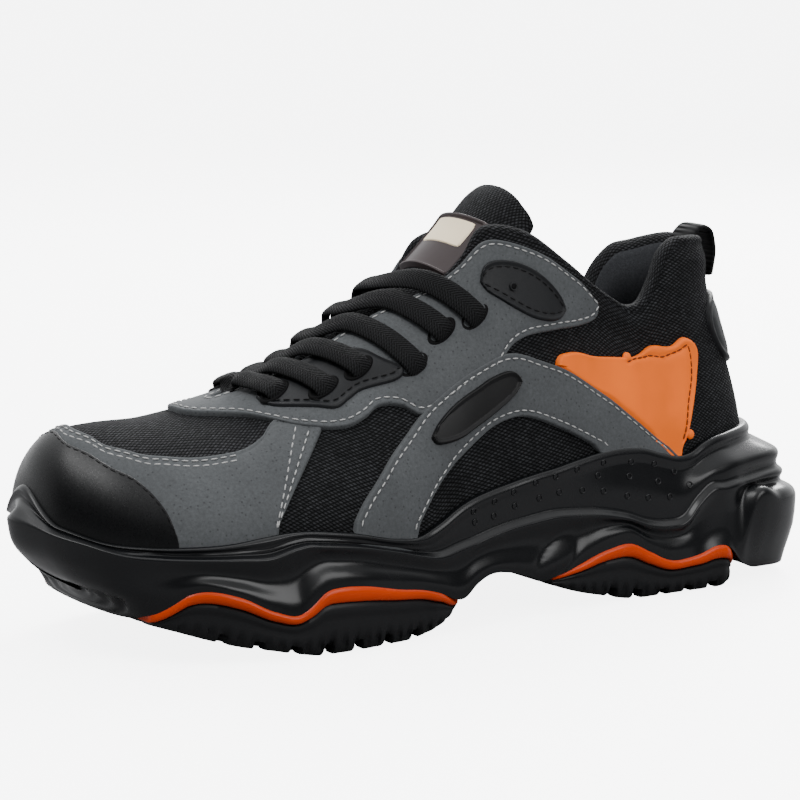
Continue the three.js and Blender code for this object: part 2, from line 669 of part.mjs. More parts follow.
function upperBody() {
  const body = new Body();
  const outer = UPPER_LEVELS.map((v) => upperRing.map((a) => body.add(onUpper(a, v, 0))));
  const inner = UPPER_LEVELS.map((v) => upperRing.map((a) => body.add(onUpper(a, v, -wallAt(a, v)))));
  const top = UPPER_LEVELS.length - 1;
  for (let j = 0; j < top; j += 1) {
    body.strip(outer[j], outer[j + 1], true);
    body.strip(inner[j + 1], inner[j], true);
  }
  body.strip(inner[0], outer[0], true);
  const n = upperRing.length;
  for (let i = 0; i < n; i += 1) {
    const j = (i + 1) % n;
    const shut = towardsToe(upperRing[i]) >= THROAT_END && towardsToe(upperRing[j]) >= THROAT_END;
    if (!shut) body.quad(outer[top][i], outer[top][j], inner[top][j], inner[top][i]);
  }
  return body.geometry();
}

// Stations of the sole: one for each row of its levels, and a few round its ends.
function stationOf(t) {
  let low = 0;
  let high = 1;
  for (let i = 0; i < 30; i += 1) {
    const a = (low + high) / 2;
    if (outlineT(a) < t) low = a;
    else high = a;
  }
  return (low + high) / 2;
}

const SOLE_HALF = [
  0, 0.016, 0.034, 0.052, 0.075,
  ...LEVEL_ROWS.filter((row) => row[0] > 4 && row[0] < 99.5).map((row) => stationOf(row[0])),
  0.991, 1,
];
const soleRing = ring(SOLE_HALF);

function onOutline(a, depth, z) {
  const out = outwards(outlineT, outlineY, a);
  return new THREE.Vector3(
    LENGTH / 2 - outlineT(a) * L - out.x * depth,
    outlineY(a) * W - out.y * depth,
    z,
  );
}

function midsoleColumn(a) {
  const t = Math.min(Math.max(outlineT(a), 0), 100);
  const at = (name, z) => onOutline(a, inset[name](t) * W, z);
  const z = {};
  for (const name of Object.keys(level)) z[name] = level[name](t) * S;
  const rim = crossing(a, (x) => rimHeight(a, x));
  z.rim = Math.max(skin(a, rim).z, z.step + 1);
  const span = z.rim - z.step;
  const ledge = z.step + Math.min(0.04 * SOLE_HEIGHT, 0.2 * span);
  const low = z.rim - Math.min(0.09 * SOLE_HEIGHT, 0.5 * span);
  const bead = z.rim - Math.min(0.036 * SOLE_HEIGHT, 0.22 * span);
  const drops = { groove: z.rim - low, bead: z.rim - bead, lip: 0 };
  const hug = (name, h) => onUpper(a, crossing(a, (x) => rimHeight(a, x) - drops[name]), GAP + h);
  const floor = onUpper(a, 0, CUP_GAP);
  return [
    at('edge', z.edge),
    at('flare', z.flare),
    at('hollow', z.hollow),
    at('step', z.step),
    at('ledge', ledge),
    at('wall', (ledge + low) / 2),
    hug('groove', GROOVE_OUT),
    hug('bead', BEAD_OUT),
    hug('lip', LIP_OUT),
    onUpper(a, rim, GAP),
    onUpper(a, rim * 0.5, CUP_GAP),
    floor.setZ(floor.z - CUP_FLOOR_GAP),
  ];
}

function midsoleBody() {
  const body = new Body();
  const columns = soleRing.map((a) => midsoleColumn(a).map((p) => body.add(p)));
  const lines = columns[0].map((_, k) => columns.map((points) => points[k]));
  for (let k = 0; k + 1 < lines.length; k += 1) body.strip(lines[k], lines[k + 1], true);
  fill(body, lines[0], true);
  fill(body, lines[lines.length - 1], false);
  return body.geometry();
}

// The midsole's lower edges at t, outer and inner side, straight between its stations.
const SOLE_T = SOLE_HALF.map((a) => outlineT(a));
const LOWER_EDGES = SOLE_HALF.map((a, i) => [a, 2 - a].map((b) => (
  onOutline(b, inset.edge(SOLE_T[i]) * W, level.edge(SOLE_T[i]) * S))));

function lowerEdges(t) {
  let k = 0;
  while (k < SOLE_T.length - 2 && t > SOLE_T[k + 1]) k += 1;
  const u = (t - SOLE_T[k]) / (SOLE_T[k + 1] - SOLE_T[k]);
  return [0, 1].map((side) => LOWER_EDGES[k][side].clone().lerp(LOWER_EDGES[k + 1][side], u));
}

// A tread's section at t through points given by depth from the edges and height.
function treadSection(t, round, corners) {
  const [outer, inner] = lowerEdges(t);
  const width = outer.distanceTo(inner);
  const at = (depth, z) => {
    const u = Math.min((1 - round) / 2 + depth / width, 0.48);
    const near = outer.clone().lerp(inner, u);
    const far = inner.clone().lerp(outer, u);
    return [near.setZ(z), far.setZ(z)];
  };
  const pairs = corners.map(([depth, z]) => at(depth, z));
  return [...pairs.map((pair) => pair[0]), ...pairs.map((pair) => pair[1]).reverse()];
}

// Heights at t: the inlay's top and its join with the tread, and the tread's wearing face.
function treadAt(rows, t) {
  const of = (name) => straight(column(rows, TREAD_COLUMNS, 't'), column(rows, TREAD_COLUMNS, name), t);
  const top = lowerEdges(t)[0].z - GAP;
  return { top, join: top - of('inlay') * S, low: of('floor') * S, round: of('round') };
}

// Every t where one of the faces between sole, inlay and tread turns.
function treadStations(rows) {
  const first = rows[0][0];
  const last = rows[rows.length - 1][0];
  return [...rows.map((row) => row[0]), ...SOLE_T]
    .filter((t) => t >= first && t <= last)
    .sort((p, q) => p - q)
    .filter((t, i, list) => i === 0 || t - list[i - 1] > 0.01);
}

// Coloured inlay, standing a little proud between the midsole and the tread.
function inlayBody(rows) {
  return loft(treadStations(rows).map((t) => {
    const row = treadAt(rows, t);
    const middle = (row.top + row.join) / 2;
    return treadSection(t, row.round, [[0.3, row.top], [-0.4, middle], [0.3, row.join]]);
  }));
}

// Rubber tread with cross grooves between its lugs.
function treadBody(rows, lugsFrom, lugsTo) {
  const count = Math.floor(((lugsTo - lugsFrom) * L) / LUG_PITCH);
  const half = LUG_SLOT / 2 / L;
  const wall = LUG_DRAFT / L;
  const middles = Array.from({ length: count + 1 }, (_, i) => lugsFrom + ((lugsTo - lugsFrom) * i) / count);
  const nearest = (t) => Math.min(...middles.map((middle) => Math.abs(t - middle)));
  const plain = treadStations(rows)
    .filter((t) => nearest(t) < half || nearest(t) > half + wall)
    .map((t) => ({ t, cut: nearest(t) < half ? 1 : 0 }));
  const walls = middles.flatMap((middle) => [
    { t: middle - half - wall, cut: 0 },
    { t: middle - half, cut: 1 },
    { t: middle + half, cut: 1 },
    { t: middle + half + wall, cut: 0 },
  ]);
  const stations = [...plain, ...walls].sort((p, q) => p.t - q.t);
  return loft(stations.map(({ t, cut }) => {
    const row = treadAt(rows, t);
    const top = row.join - GAP;
    const depth = Math.min(LUG_DEPTH, Math.max(top - row.low - 1.5, 0)) * cut;
    const low = Math.min(row.low + depth, top - 0.8);
    const shoulder = low + Math.min(2.2, (top - low) / 2);
    return treadSection(t, row.round, [[0.8, top], [1.4, shoulder], [3.6, low]]);
  }));
}

// Insole on the cup's floor, inside the upper's wall.
function insoleBody() {
  const body = new Body();
  const base = (a) => onUpper(a, 0, -UPPER_WALL - INSOLE_CLEAR);
  const lift = (points, dz, inwards) => points.map((p, i) => {
    const middle = points[(points.length - i) % points.length];
    const q = p.clone().lerp(middle, inwards);
    q.z = p.z + dz;
    return body.add(q);
  });
  const points = upperRing.map((a) => base(a));
  const lines = [
    lift(points, 0, 0.02),
    lift(points, INSOLE_THICK * 0.8, 0),
    lift(points, INSOLE_THICK, 0.03),
  ];
  body.strip(lines[0], lines[1], true);
  body.strip(lines[1], lines[2], true);
  fill(body, lines[0], true);
  fill(body, lines[2], false);
  return body.geometry();
}

// A footprint on the upper's face: the pairs of a panel's rows, joined across.
const FOOT_DEPTH = -5;
const FOOT_HEIGHT = 9;
const FOOT_ACROSS = 4;
const BELOW_RIM = -0.05; // where a panel runs down into the sole before it is trimmed

function metric(a, w) {
  const e = 0.004;
  const da = onPanel(a + e, w, 0).distanceTo(onPanel(a - e, w, 0)) / (2 * e);
  const low = Math.max(w - e, 0);
  const high = Math.min(w + e, 1);
  const dw = onPanel(a, high, 0).distanceTo(onPanel(a, low, 0)) / (high - low);
  return { da, dw };
}

// Rows moved out all round by a width in millimetres.
function grown(rows, width) {
  if (!width) return rows;
  const move = (row, from, to) => {
    const [a, w] = from;
    const { da, dw } = metric(a, Math.min(Math.max(w, 0.02), 0.98));
    const ua = (a - to[0]) * da;
    const uw = (w - to[1]) * dw;
    const n = Math.hypot(ua, uw) || 1;
    return [a + (ua / n / da) * width, w + (uw / n / dw) * width];
  };
  const wider = rows.map((row) => [
    ...move(row, [row[0], row[1]], [row[2], row[3]]),
    ...move(row, [row[2], row[3]], [row[0], row[1]]),
  ]);
  const beyond = (end, next) => {
    const one = move(end, [end[0], end[1]], [next[0], next[1]]);
    const two = move(end, [end[2], end[3]], [next[2], next[3]]);
    return [...one, ...two];
  };
  const first = beyond(wider[0], wider[1]);
  const last = beyond(wider[wider.length - 1], wider[wider.length - 2]);
  return [first, ...wider.slice(1, -1), last];
}

function footprint(rows, side, width = 0) {
  const line = (row, h) => {
    const points = [];
    for (let k = 0; k <= FOOT_ACROSS; k += 1) {
      const u = k / FOOT_ACROSS;
      const a = row[0] + (row[2] - row[0]) * u;
      const w = Math.min(row[1] + (row[3] - row[1]) * u, 1);
      points.push(onPanel(side > 0 ? a : 2 - a, w, h));
    }
    return points;
  };
  const down = (w) => (w === 0 ? BELOW_RIM : w);
  const list = grown(rows.map(([a, w, b, x]) => [a, down(w), b, down(x)]), width);
  return asSolid(between(list.map((row) => line(row, FOOT_HEIGHT)), list.map((row) => line(row, FOOT_DEPTH))));
}

// Both sides of a panel that runs on round the toe, the heel or the throat's end.
function mirroredRows(rows) {
  const turned = rows.map(([a, w, b, x]) => [2 - a, w, 2 - b, x]);
  const last = rows[rows.length - 1];
  const meets = Math.abs(last[0] - 1) < 1e-9 || Math.abs(last[0]) < 1e-9;
  return meets ? [...rows, ...turned.reverse().slice(1)] : [...rows, ...turned.reverse()];
}

const forms = new Map();
function form(h) {
  const key = h.toFixed(3);
  if (!forms.has(key)) forms.set(key, upperForm(h));
  return forms.get(key);
}

function shell(low, high) {
  return form(high).subtract(form(low));
}

function largest(solid) {
  const pieces = solid.decompose();
  return pieces.reduce((best, piece) => (piece.volume() > best.volume() ? piece : best));
}

// The room the sole's rim takes on the upper's face, all round.
function rimRoom() {
  const body = new Body();
  const columns = soleRing.map((a) => {
    const v = rimStart(a);
    return [[0, FOOT_DEPTH], [0, FOOT_HEIGHT], [v, FOOT_HEIGHT], [v, FOOT_DEPTH]]
      .map(([at, h]) => body.add(onUpper(a, at, h)));
  });
  for (let k = 0; k < 4; k += 1) {
    body.strip(columns.map((points) => points[k]), columns.map((points) => points[(k + 1) % 4]), true);
  }
  return asSolid(body.geometry());
}

const underRim = rimRoom();

function panel(feet, low, high, cutters) {
  let solid = shell(low, high).intersect(feet).subtract(underRim);
  for (const cutter of cutters) solid = solid.subtract(cutter);
  return asGeometry(largest(solid));
}

// Tongue: sections square to its middle line, crowned across and padded at the top.
function tonguePoint(u) {
  const index = TONGUE.map((_, i) => i);
  const of = (name) => smooth(index, TONGUE.map((row) => row[name]), u);
  return {
    x: LENGTH / 2 - of('t') * L,
    z: of('z') * U,
    half: TONGUE_FOOT_HALF + (TONGUE_HALF - TONGUE_FOOT_HALF) * of('wide'),
    thick: TONGUE_THICK + (TONGUE_TOP_THICK - TONGUE_THICK) * of('thick'),
  };
}

function tongueFrame(u) {
  const last = TONGUE.length - 1;
  const here = tonguePoint(u);
  const before = tonguePoint(Math.max(u - 0.2, 0));
  const after = tonguePoint(Math.min(u + 0.2, last));
  const run = new THREE.Vector2(after.x - before.x, after.z - before.z).normalize();
  return { ...here, normal: new THREE.Vector3(-run.y, 0, run.x) };
}

// h above the tongue's front face at a width y.
function onTongue(u, y, h) {
  const { x, z, normal } = tongueFrame(u);
  const crown = TONGUE_CROWN * y * y;
  return new THREE.Vector3(x, y, z).addScaledVector(normal, h - crown);
}

function tongueBody() {
  const across = [-1, -0.86, -0.6, -0.3, 0, 0.3, 0.6, 0.86, 1];
  const sections = TONGUE.map((_, i) => {
    const { half, thick } = tongueFrame(i);
    const front = across.map((k) => onTongue(i, k * half, -thick * 0.5 * k ** 6));
    const back = across.map((k) => onTongue(i, k * half, -thick * (1 - 0.5 * k ** 6)));
    return [...front, ...back.slice(1, -1).reverse()];
  });
  return loft(sections);
}

// Label moulded in rubber, sewn on the tongue's front, its face left bare.
function labelBody() {
  const across = [-1, -0.6, -0.2, 0.2, 0.6, 1].map((k) => (k * LABEL_WIDTH) / 2);
  const place = (u, y, h) => {
    const k = Math.floor(u);
    return onTongue(k, y, h).lerp(onTongue(k + 1, y, h), u - k);
  };
  const grid = (h) => LABEL_ROWS.map((u) => across.map((y) => place(u, y, h)));
  return between(grid(LABEL_LIFT + LABEL_THICK), grid(LABEL_LIFT));
}

// Flat lace through points, width lying along the given directions.
function laceStrand(points, widths) {
  const curve = new THREE.CatmullRomCurve3(points);
  const count = 12;
  const sections = [];
  for (let i = 0; i <= count; i += 1) {
    const u = i / count;
    const p = curve.getPoint(u);
    const run = curve.getTangent(u);
    const wide = widths[0].clone().lerp(widths[1], u);
    wide.addScaledVector(run, -wide.dot(run)).normalize();
    const up = run.clone().cross(wide);
    const corner = (k, h) => p.clone()
      .addScaledVector(wide, (k * LACE_WIDTH) / 2)
      .addScaledVector(up, (h * LACE_THICK) / 2);
    sections.push([corner(-1, 0.2), corner(-0.6, 1), corner(0.6, 1), corner(1, 0.2), corner(0.6, -1), corner(-0.6, -1)]);
  }
  return loft(sections);
}

const LACE_REST = GAP + OVERLAY + GAP + PATCH_THICK + GAP + LACE_THICK / 2;
const PATCHED_SLOTS = 3;

// One lace over the tongue, from its slot on the outer side to that on the inner side.
function laceRow(index) {
  const slot = SLOTS[index];
  const crest = CREST[index];
  const rest = index < PATCHED_SLOTS ? LACE_REST : LACE_REST - PATCH_THICK;
  const arm = (side) => {
    const place = (k, h) => {
      const a = slot.a + (slot.over - slot.a) * k;
      return onPanel(side > 0 ? a : 2 - a, slot.w + (1 - slot.w) * k, rest + h);
    };
    return [place(0.06, 0.1), place(0.5, 0.4), place(1, 1.2)];
  };
  const peak = new THREE.Vector3(LENGTH / 2 - crest.t * L, 0, crest.z * U - LACE_THICK / 2);
  const uphill = new THREE.Vector3(1, 0, 0.55).normalize();
  return laceStrand([...arm(1), peak, ...arm(-1).reverse()], [uphill, uphill]);
}

// Webbing loop, bent over the heel of the collar.
function loopBody() {
  const edge = skin(0, 1);
  const clear = GAP + LOOP_THICK / 2 + 0.1;
  const curve = new THREE.CatmullRomCurve3([
    onUpper(0, LOOP_ENDS.inside, -wallAt(0, LOOP_ENDS.inside) - clear - COLLAR_ROUND),
    ...LOOP_ARCH.map(({ behind, above }) => new THREE.Vector3(edge.x + behind, 0, edge.z + above)),
    onUpper(0, LOOP_ENDS.outside, clear),
  ]);
  const count = 16;
  const sections = [];
  for (let i = 0; i <= count; i += 1) {
    const p = curve.getPoint(i / count);
    const run = curve.getTangent(i / count);
    const out = new THREE.Vector3(run.z, 0, -run.x);
    const corner = (y, h) => new THREE.Vector3(p.x, (y * LOOP_WIDTH) / 2, p.z)
      .addScaledVector(out, (h * LOOP_THICK) / 2);
    sections.push([corner(-1, -1), corner(1, -1), corner(1, 1), corner(-1, 1)]);
  }
  return loft(sections);
}

// Colours and finishes
const FINISH = {
  moulded: { color: 0x17181a, roughness: 0.42, metalness: 0 },
  tread: { color: 0x1e2022, roughness: 0.7, metalness: 0 },
  inlay: { color: 0xc8501e, roughness: 0.3, metalness: 0 },
  knit: { color: 0x1b1c1e, roughness: 0.95, metalness: 0 },
  suede: { color: 0x5f6264, roughness: 0.9, metalness: 0 },
  smoothBlack: { color: 0x1d1e20, roughness: 0.45, metalness: 0 },
  panel: { color: 0xf37d30, roughness: 0.5, metalness: 0 },
  label: { color: 0x5a4c4c, roughness: 0.55, metalness: 0 },
  lace: { color: 0x1c1d1c, roughness: 0.9, metalness: 0 },
  insole: { color: 0x26272a, roughness: 0.95, metalness: 0 },
};

const shoe = new THREE.Group();

function piece(name, geometry, finish) {
  const mesh = new THREE.Mesh(geometry, new THREE.MeshStandardMaterial(FINISH[finish]));
  mesh.name = name;
  shoe.add(mesh);
}

const OVER = { low: GAP, high: GAP + OVERLAY };
const ON_OVERLAY = { low: GAP + OVERLAY + GAP, high: GAP + OVERLAY + GAP + PATCH_THICK };
const ON_BAND = { low: GAP + BAND_THICK + GAP, high: GAP + BAND_THICK + GAP + PATCH_THICK };

piece('midsole', midsoleBody(), 'moulded');
piece('outsole_forefoot', treadBody(FOREFOOT_TREAD, 59.5, 83), 'tread');
piece('outsole_heel', treadBody(HEEL_TREAD, 16.8, 31), 'tread');
piece('inlay_forefoot', inlayBody(FOREFOOT_TREAD), 'inlay');
piece('inlay_heel', inlayBody(HEEL_TREAD), 'inlay');
piece('upper', upperBody(), 'knit');
piece('insole', insoleBody(), 'insole');
piece('tongue', tongueBody(), 'knit');
piece('tongue_label', labelBody(), 'label');

const capRows = mirroredRows(TOE_CAP);
const capFoot = footprint(capRows, 1);
piece('toe_cap', panel(capFoot, GAP, GAP + TOE_OVERLAY, []), 'smoothBlack');

const eyestayFoot = footprint(mirroredRows(EYESTAY), 1);
const eyestayRoom = footprint(mirroredRows(EYESTAY), 1, GAP);
const bandRoom = [1, -1].map((side) => footprint(SIDE_BAND, side, GAP));
const mudguardFoot = footprint(mirroredRows([...MUDGUARD].reverse()), 1);
piece('mudguard', panel(mudguardFoot, OVER.low, OVER.high, [footprint(capRows, 1, GAP), eyestayRoom]), 'suede');
piece('eyestay', panel(eyestayFoot, OVER.low, OVER.high, bandRoom), 'suede');

for (const [side, name] of [[1, 'lateral'], [-1, 'medial']]) {
  const foot = (rows) => footprint(rows, side);
  const room = bandRoom[side > 0 ? 0 : 1];
  piece(`side_band_${name}`, panel(foot(SIDE_BAND), GAP, GAP + BAND_THICK, []), 'suede');
  piece(`band_pad_${name}`, panel(foot(BAND_PAD), ON_BAND.low, ON_BAND.high, []), 'smoothBlack');
  piece(`heel_panel_${name}`, panel(foot(HEEL_PANEL), GAP, GAP + PANEL_THICK, [room]), 'panel');
  piece(`eyestay_patch_${name}`, panel(foot(EYESTAY_PATCH), ON_OVERLAY.low, ON_OVERLAY.high, []), 'smoothBlack');
  piece(`ankle_patch_${name}`, panel(foot(ANKLE_PATCH), ON_OVERLAY.low, ON_OVERLAY.high, []), 'smoothBlack');
}

piece('heel_tab', panel(footprint(mirroredRows(HEEL_TAB), 1), OVER.low, OVER.high, []), 'smoothBlack');
piece('pull_loop', loopBody(), 'lace');
SLOTS.forEach((_, i) => piece(`lace_row_${i + 1}`, laceRow(i), 'lace'));

// The part's origin is the middle of its box, on the floor.
const box = new THREE.Box3().setFromObject(shoe);
shoe.position.set(-(box.min.x + box.max.x) / 2, -(box.min.y + box.max.y) / 2, -box.min.z);

export default shoe;
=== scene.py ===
"""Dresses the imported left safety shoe: knit upper, suede and moulded overlays, padded tongue,
flat braided laces, moulded midsole with its inlay and lugged treads. The forms follow the
same tables as the part's source, in millimetres, and are laid down in metres."""
import math

import bpy
import numpy as np
from mathutils import Matrix, Vector


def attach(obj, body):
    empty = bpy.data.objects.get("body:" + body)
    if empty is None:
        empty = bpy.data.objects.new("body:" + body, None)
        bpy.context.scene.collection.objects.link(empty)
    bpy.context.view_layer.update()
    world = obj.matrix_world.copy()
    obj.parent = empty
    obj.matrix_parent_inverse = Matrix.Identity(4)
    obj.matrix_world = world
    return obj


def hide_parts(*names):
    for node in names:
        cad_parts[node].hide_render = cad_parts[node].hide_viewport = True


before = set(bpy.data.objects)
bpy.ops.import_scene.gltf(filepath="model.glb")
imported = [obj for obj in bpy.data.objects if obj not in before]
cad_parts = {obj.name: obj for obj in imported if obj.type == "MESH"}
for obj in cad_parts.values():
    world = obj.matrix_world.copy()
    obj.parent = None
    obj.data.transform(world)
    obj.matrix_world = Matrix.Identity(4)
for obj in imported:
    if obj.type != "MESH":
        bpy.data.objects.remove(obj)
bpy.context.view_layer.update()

MM = 0.001
SHIFT = np.array([-0.387, 2.478, 0.0])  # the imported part's own origin
L, W, S, U = 3.10, 1.16, 0.55, 1.33  # one percent of length, width, sole and upper height
WALL, COLLAR_PAD, GAP = 2.6, 4.6, 0.3
SUEDE, CAP, BAND, PANEL, PATCH = 1.3, 1.7, 2.1, 2.1, 1.1  # thicknesses of the overlays
BEAD_OUT, LIP_OUT, GROOVE_OUT = 3.2, 2.0, 2.3
TOE_PEAK, PANEL_LIFT, CUP_GAP, CUP_FLOOR_GAP = 10, 0.55, 0.7, 0.4
THROAT_END = 0.75
RIDGE_SWING = ((0, 0.75, 0.88, 1), (0, 0, 2.2, 5.2))
LACE_WIDE, LACE_THICK = 8.6, 2.3
LABEL_HALF, LABEL_FROM, LABEL_TO = 17, 7.1, 8.85
UPPER_COLUMNS = ['a', 'tf', 'lat', 'med', 'zf', 'te', 'half', 'ze', 'rise', 'lean', 'reach', 'drop']
UPPER_ROWS = [
    (0, 5.8, 0, 0, 65.5, 10, 0, 89.5, 19.5, 4.3, 1.7, 21),
    (0.05, 7.1, 13.8, 13.8, 65.5, 11.6, 9.5, 91, 19.5, 4.3, 1.7, 21),
    (0.12, 12.3, 24.1, 24.1, 63.5, 16.5, 18.1, 88.7, 18, 4.3, 2.6, 19.5),
    (0.2, 20, 29.3, 28.4, 62, 24.5, 22.4, 77, 16.5, 4.3, 3.4, 16.5),
    (0.3, 30.6, 31.9, 29.3, 58, 33.5, 23.3, 89.5, 19.5, 4.3, 3.4, 19.5),
    (0.35, 35.8, 33.6, 28, 55.5, 38.7, 22.4, 98, 22.6, 4.3, 5.2, 20.3),
    (0.4, 41.3, 35.3, 27.6, 52.7, 44.2, 20.7, 100, 25.6, 4.3, 6.9, 19.5),
    (0.45, 46.5, 36.4, 28.4, 51, 47.4, 19, 92, 25.6, 4.7, 9.5, 15),
    (0.5, 51.6, 38.6, 29.7, 49, 50.6, 16.4, 86, 25.6, 5.2, 12, 10.5),
    (0.55, 56.5, 41.4, 32.3, 48, 54.8, 12.1, 81.6, 24.8, 5.2, 13.8, 8.3),
    (0.6, 61.3, 44, 35.3, 47.3, 59.4, 9.5, 76.3, 24, 5.2, 15.5, 6.8),
    (0.68, 69, 45.7, 39.7, 47.3, 66.5, 6.9, 67, 22.6, 5.2, 17.2, 3.8),
    (0.75, 75.5, 44, 42.7, 49, 73.9, 0, 60.5, 21, 5.2, 20.7, 1.5),
    (0.82, 81.9, 39.7, 41.4, 52.7, 78.4, 0, 58.3, 20.3, 4.3, 20.7, 0),
    (0.88, 87.4, 33.6, 37.1, 56.4, 82.9, 0, 57.1, 19.5, 4.3, 16, 0),
    (0.94, 93.2, 20.7, 26.7, 62, 87.4, 0, 56.9, 18.8, 4.4, 14.2, 0),
    (0.97, 95.6, 10, 17.5, 63, 89.4, 0, 56.6, 18.2, 4.5, 13.4, 0),
    (1, 96.3, -5.2, 5.2, 63.6, 90, 0, 56.4, 18, 4.6, 12.6, 0),
]
EDGE_COLUMNS = ['a', 'te', 'half', 'ze']
EDGE_ROWS = [
    (0, 10, 0, 89.5), (0.05, 11.6, 9.5, 91.2), (0.095, 14.9, 16, 92), (0.122, 17.6, 19, 91.8),
    (0.142, 19.6, 20.5, 88), (0.158, 21.1, 21.2, 81.5), (0.175, 22.6, 21.8, 77), (0.2, 24.8, 22.4, 75.6),
    (0.24, 28.1, 22.9, 79.5),
] + [(row[0], row[5], row[6], row[7]) for row in UPPER_ROWS if row[0] > 0.25]
OUTLINE_COLUMNS = ['a', 't', 'lat', 'med']
OUTLINE_ROWS = [
    (0, 0, 0, 0), (0.03, 0.8, 17.7, 17.2), (0.07, 3.2, 28.9, 27.6), (0.12, 10.3, 37, 35.8),
    (0.2, 19.4, 39.7, 38.8), (0.3, 30.6, 40.5, 37.5), (0.4, 41.3, 41.8, 35.3), (0.5, 51.6, 45.7, 37.5),
    (0.6, 61.3, 50.9, 42.5), (0.68, 69, 53, 46.6), (0.75, 76.1, 51.3, 48.7), (0.82, 83.2, 46.6, 47.4),
    (0.88, 89.4, 38.8, 41.8), (0.94, 95.2, 25, 27.6), (0.975, 98.4, 10.8, 12.1), (1, 99.9, -2.6, 2.6),
]
LEVEL_COLUMNS = ['t', 'edge', 'flare', 'hollow', 'step', 'rim']
LEVEL_ROWS = [
    (0, 5.5, 54.5, 60, 67.5, 100), (6.5, 7, 56.5, 62, 67.5, 100), (11, 11, 54.5, 61, 66.5, 99),
    (12.6, 15.5, 28, 54.5, 66.5, 98.5), (14.8, 27, 36.5, 54.5, 65.5, 97.5),
    (16.8, 29, 36.5, 54.5, 65.5, 94.5), (18.7, 25.5, 33.5, 49, 58, 90),
    (20.6, 23.5, 32.5, 41, 47.5, 89), (23.2, 23.5, 32, 39, 45.5, 92.5), (26.1, 31, 38, 42.5, 48, 97.5),
    (28.7, 38, 46.5, 50, 53.5, 99), (31.9, 36.5, 45.5, 52, 58, 98.5), (36.1, 29, 36.5, 50, 61, 95.5),
    (39.4, 23.5, 32.5, 49, 62, 92.5), (41, 22, 32, 48, 61.5, 91.5), (42.9, 26.5, 34.5, 49, 60.5, 90),
    (45.5, 31, 37.5, 49, 59, 87.5), (49, 32, 37.5, 47.5, 55.5, 84), (50.6, 28, 34.5, 45.5, 53.5, 82),
    (52.3, 21, 29, 42, 52, 79), (56.1, 27, 33.5, 42, 49, 69), (58.4, 31, 37.5, 44.5, 52, 64.5),
    (61.9, 34.5, 42, 49, 57.5, 65.5), (67.4, 41, 47.5, 56.5, 64.5, 72), (69.7, 42, 49, 58, 66.5, 74),
    (71.9, 40, 48, 59, 68, 75.5), (73.5, 32.5, 42, 56.5, 69, 76), (74.8, 28, 35.5, 52, 68, 76),
    (77.7, 31, 38, 49, 63.5, 74.5), (81.3, 41, 45.5, 52.5, 64, 72), (85.5, 45.5, 50, 56.5, 65, 71.5),
    (89.4, 37.5, 45.5, 56.5, 66.5, 72.5), (92.9, 32.5, 45.5, 58, 69, 75.5),
    (95.5, 34.5, 47.5, 62, 74.5, 82), (97.7, 36.5, 49, 65, 79, 89), (99, 37.5, 50, 67, 83, 95),
    (100, 38, 51, 68, 85, 99),
]
INSET_COLUMNS = ['t', 'edge', 'flare', 'hollow', 'step', 'ledge', 'wall']
INSET_ROWS = [
    (0, 4.3, 0, 5.2, 3.4, 6.2, 4.7), (11, 3.4, 0, 5.2, 3.4, 6, 4.7),
    (12.9, 2.2, 1.9, 4.3, 2.8, 5.2, 4.6), (22.6, 2.2, 1.9, 4.1, 1.9, 4.4, 4.4),
    (51.6, 2.2, 1.9, 3.8, 1.7, 4.2, 3.8), (84.5, 2.2, 1.9, 3.8, 1.9, 4.6, 4.6),
    (89.4, 3.4, 2.2, 2.6, 1.8, 4.2, 4.4), (94.2, 11.2, 4.3, 2.2, 0.9, 1.7, 2.6),
    (97.7, 18, 7.8, 2, 0.8, 1.9, 3), (100, 22.4, 10.3, 2.3, 1.3, 2.8, 4),
]
TOE_DOWN = ((86.8, 88.4, 90, 91.3, 93, 95.5, 100), (0, 2.2, 4.5, 4.2, 2, 0, 0))  # t, fall in % of S
FLUTES = ((0.972, 0.8), (0.958, 1.0), (0.943, 1.2), (0.923, 1.6))  # a, depth
FOREFOOT_TREAD = [
    (52.4, 4, 15, 0.9), (54.2, 5, 8, 0.97), (56.1, 5.5, 4, 1), (58.4, 6, 1.2, 1), (60.3, 6.4, 0, 1),
    (72.3, 8.5, 0, 1), (74.8, 5.5, 2.5, 1), (77.7, 6, 6, 1), (81.3, 7.3, 10, 1), (84.2, 7.3, 14.5, 1),
    (88.5, 5.8, 22, 1), (91, 4.4, 25, 1), (93.9, 3.6, 27, 1), (96, 3.4, 28.5, 0.98),
    (97.7, 3.2, 30, 0.95),
]
HEEL_TREAD = [
    (12.4, 4, 6, 0.8), (13.5, 6, 3, 0.92), (15.2, 8.5, 0.4, 1), (16.2, 9, 0, 1), (20.4, 6.4, 0, 1),
    (23.2, 6.4, 0, 1), (26.1, 8.2, 0, 1), (28.4, 9, 0.8, 1), (31.9, 7.5, 5, 1), (36.1, 4.8, 11, 1),
    (39.2, 3, 17, 0.95),
]
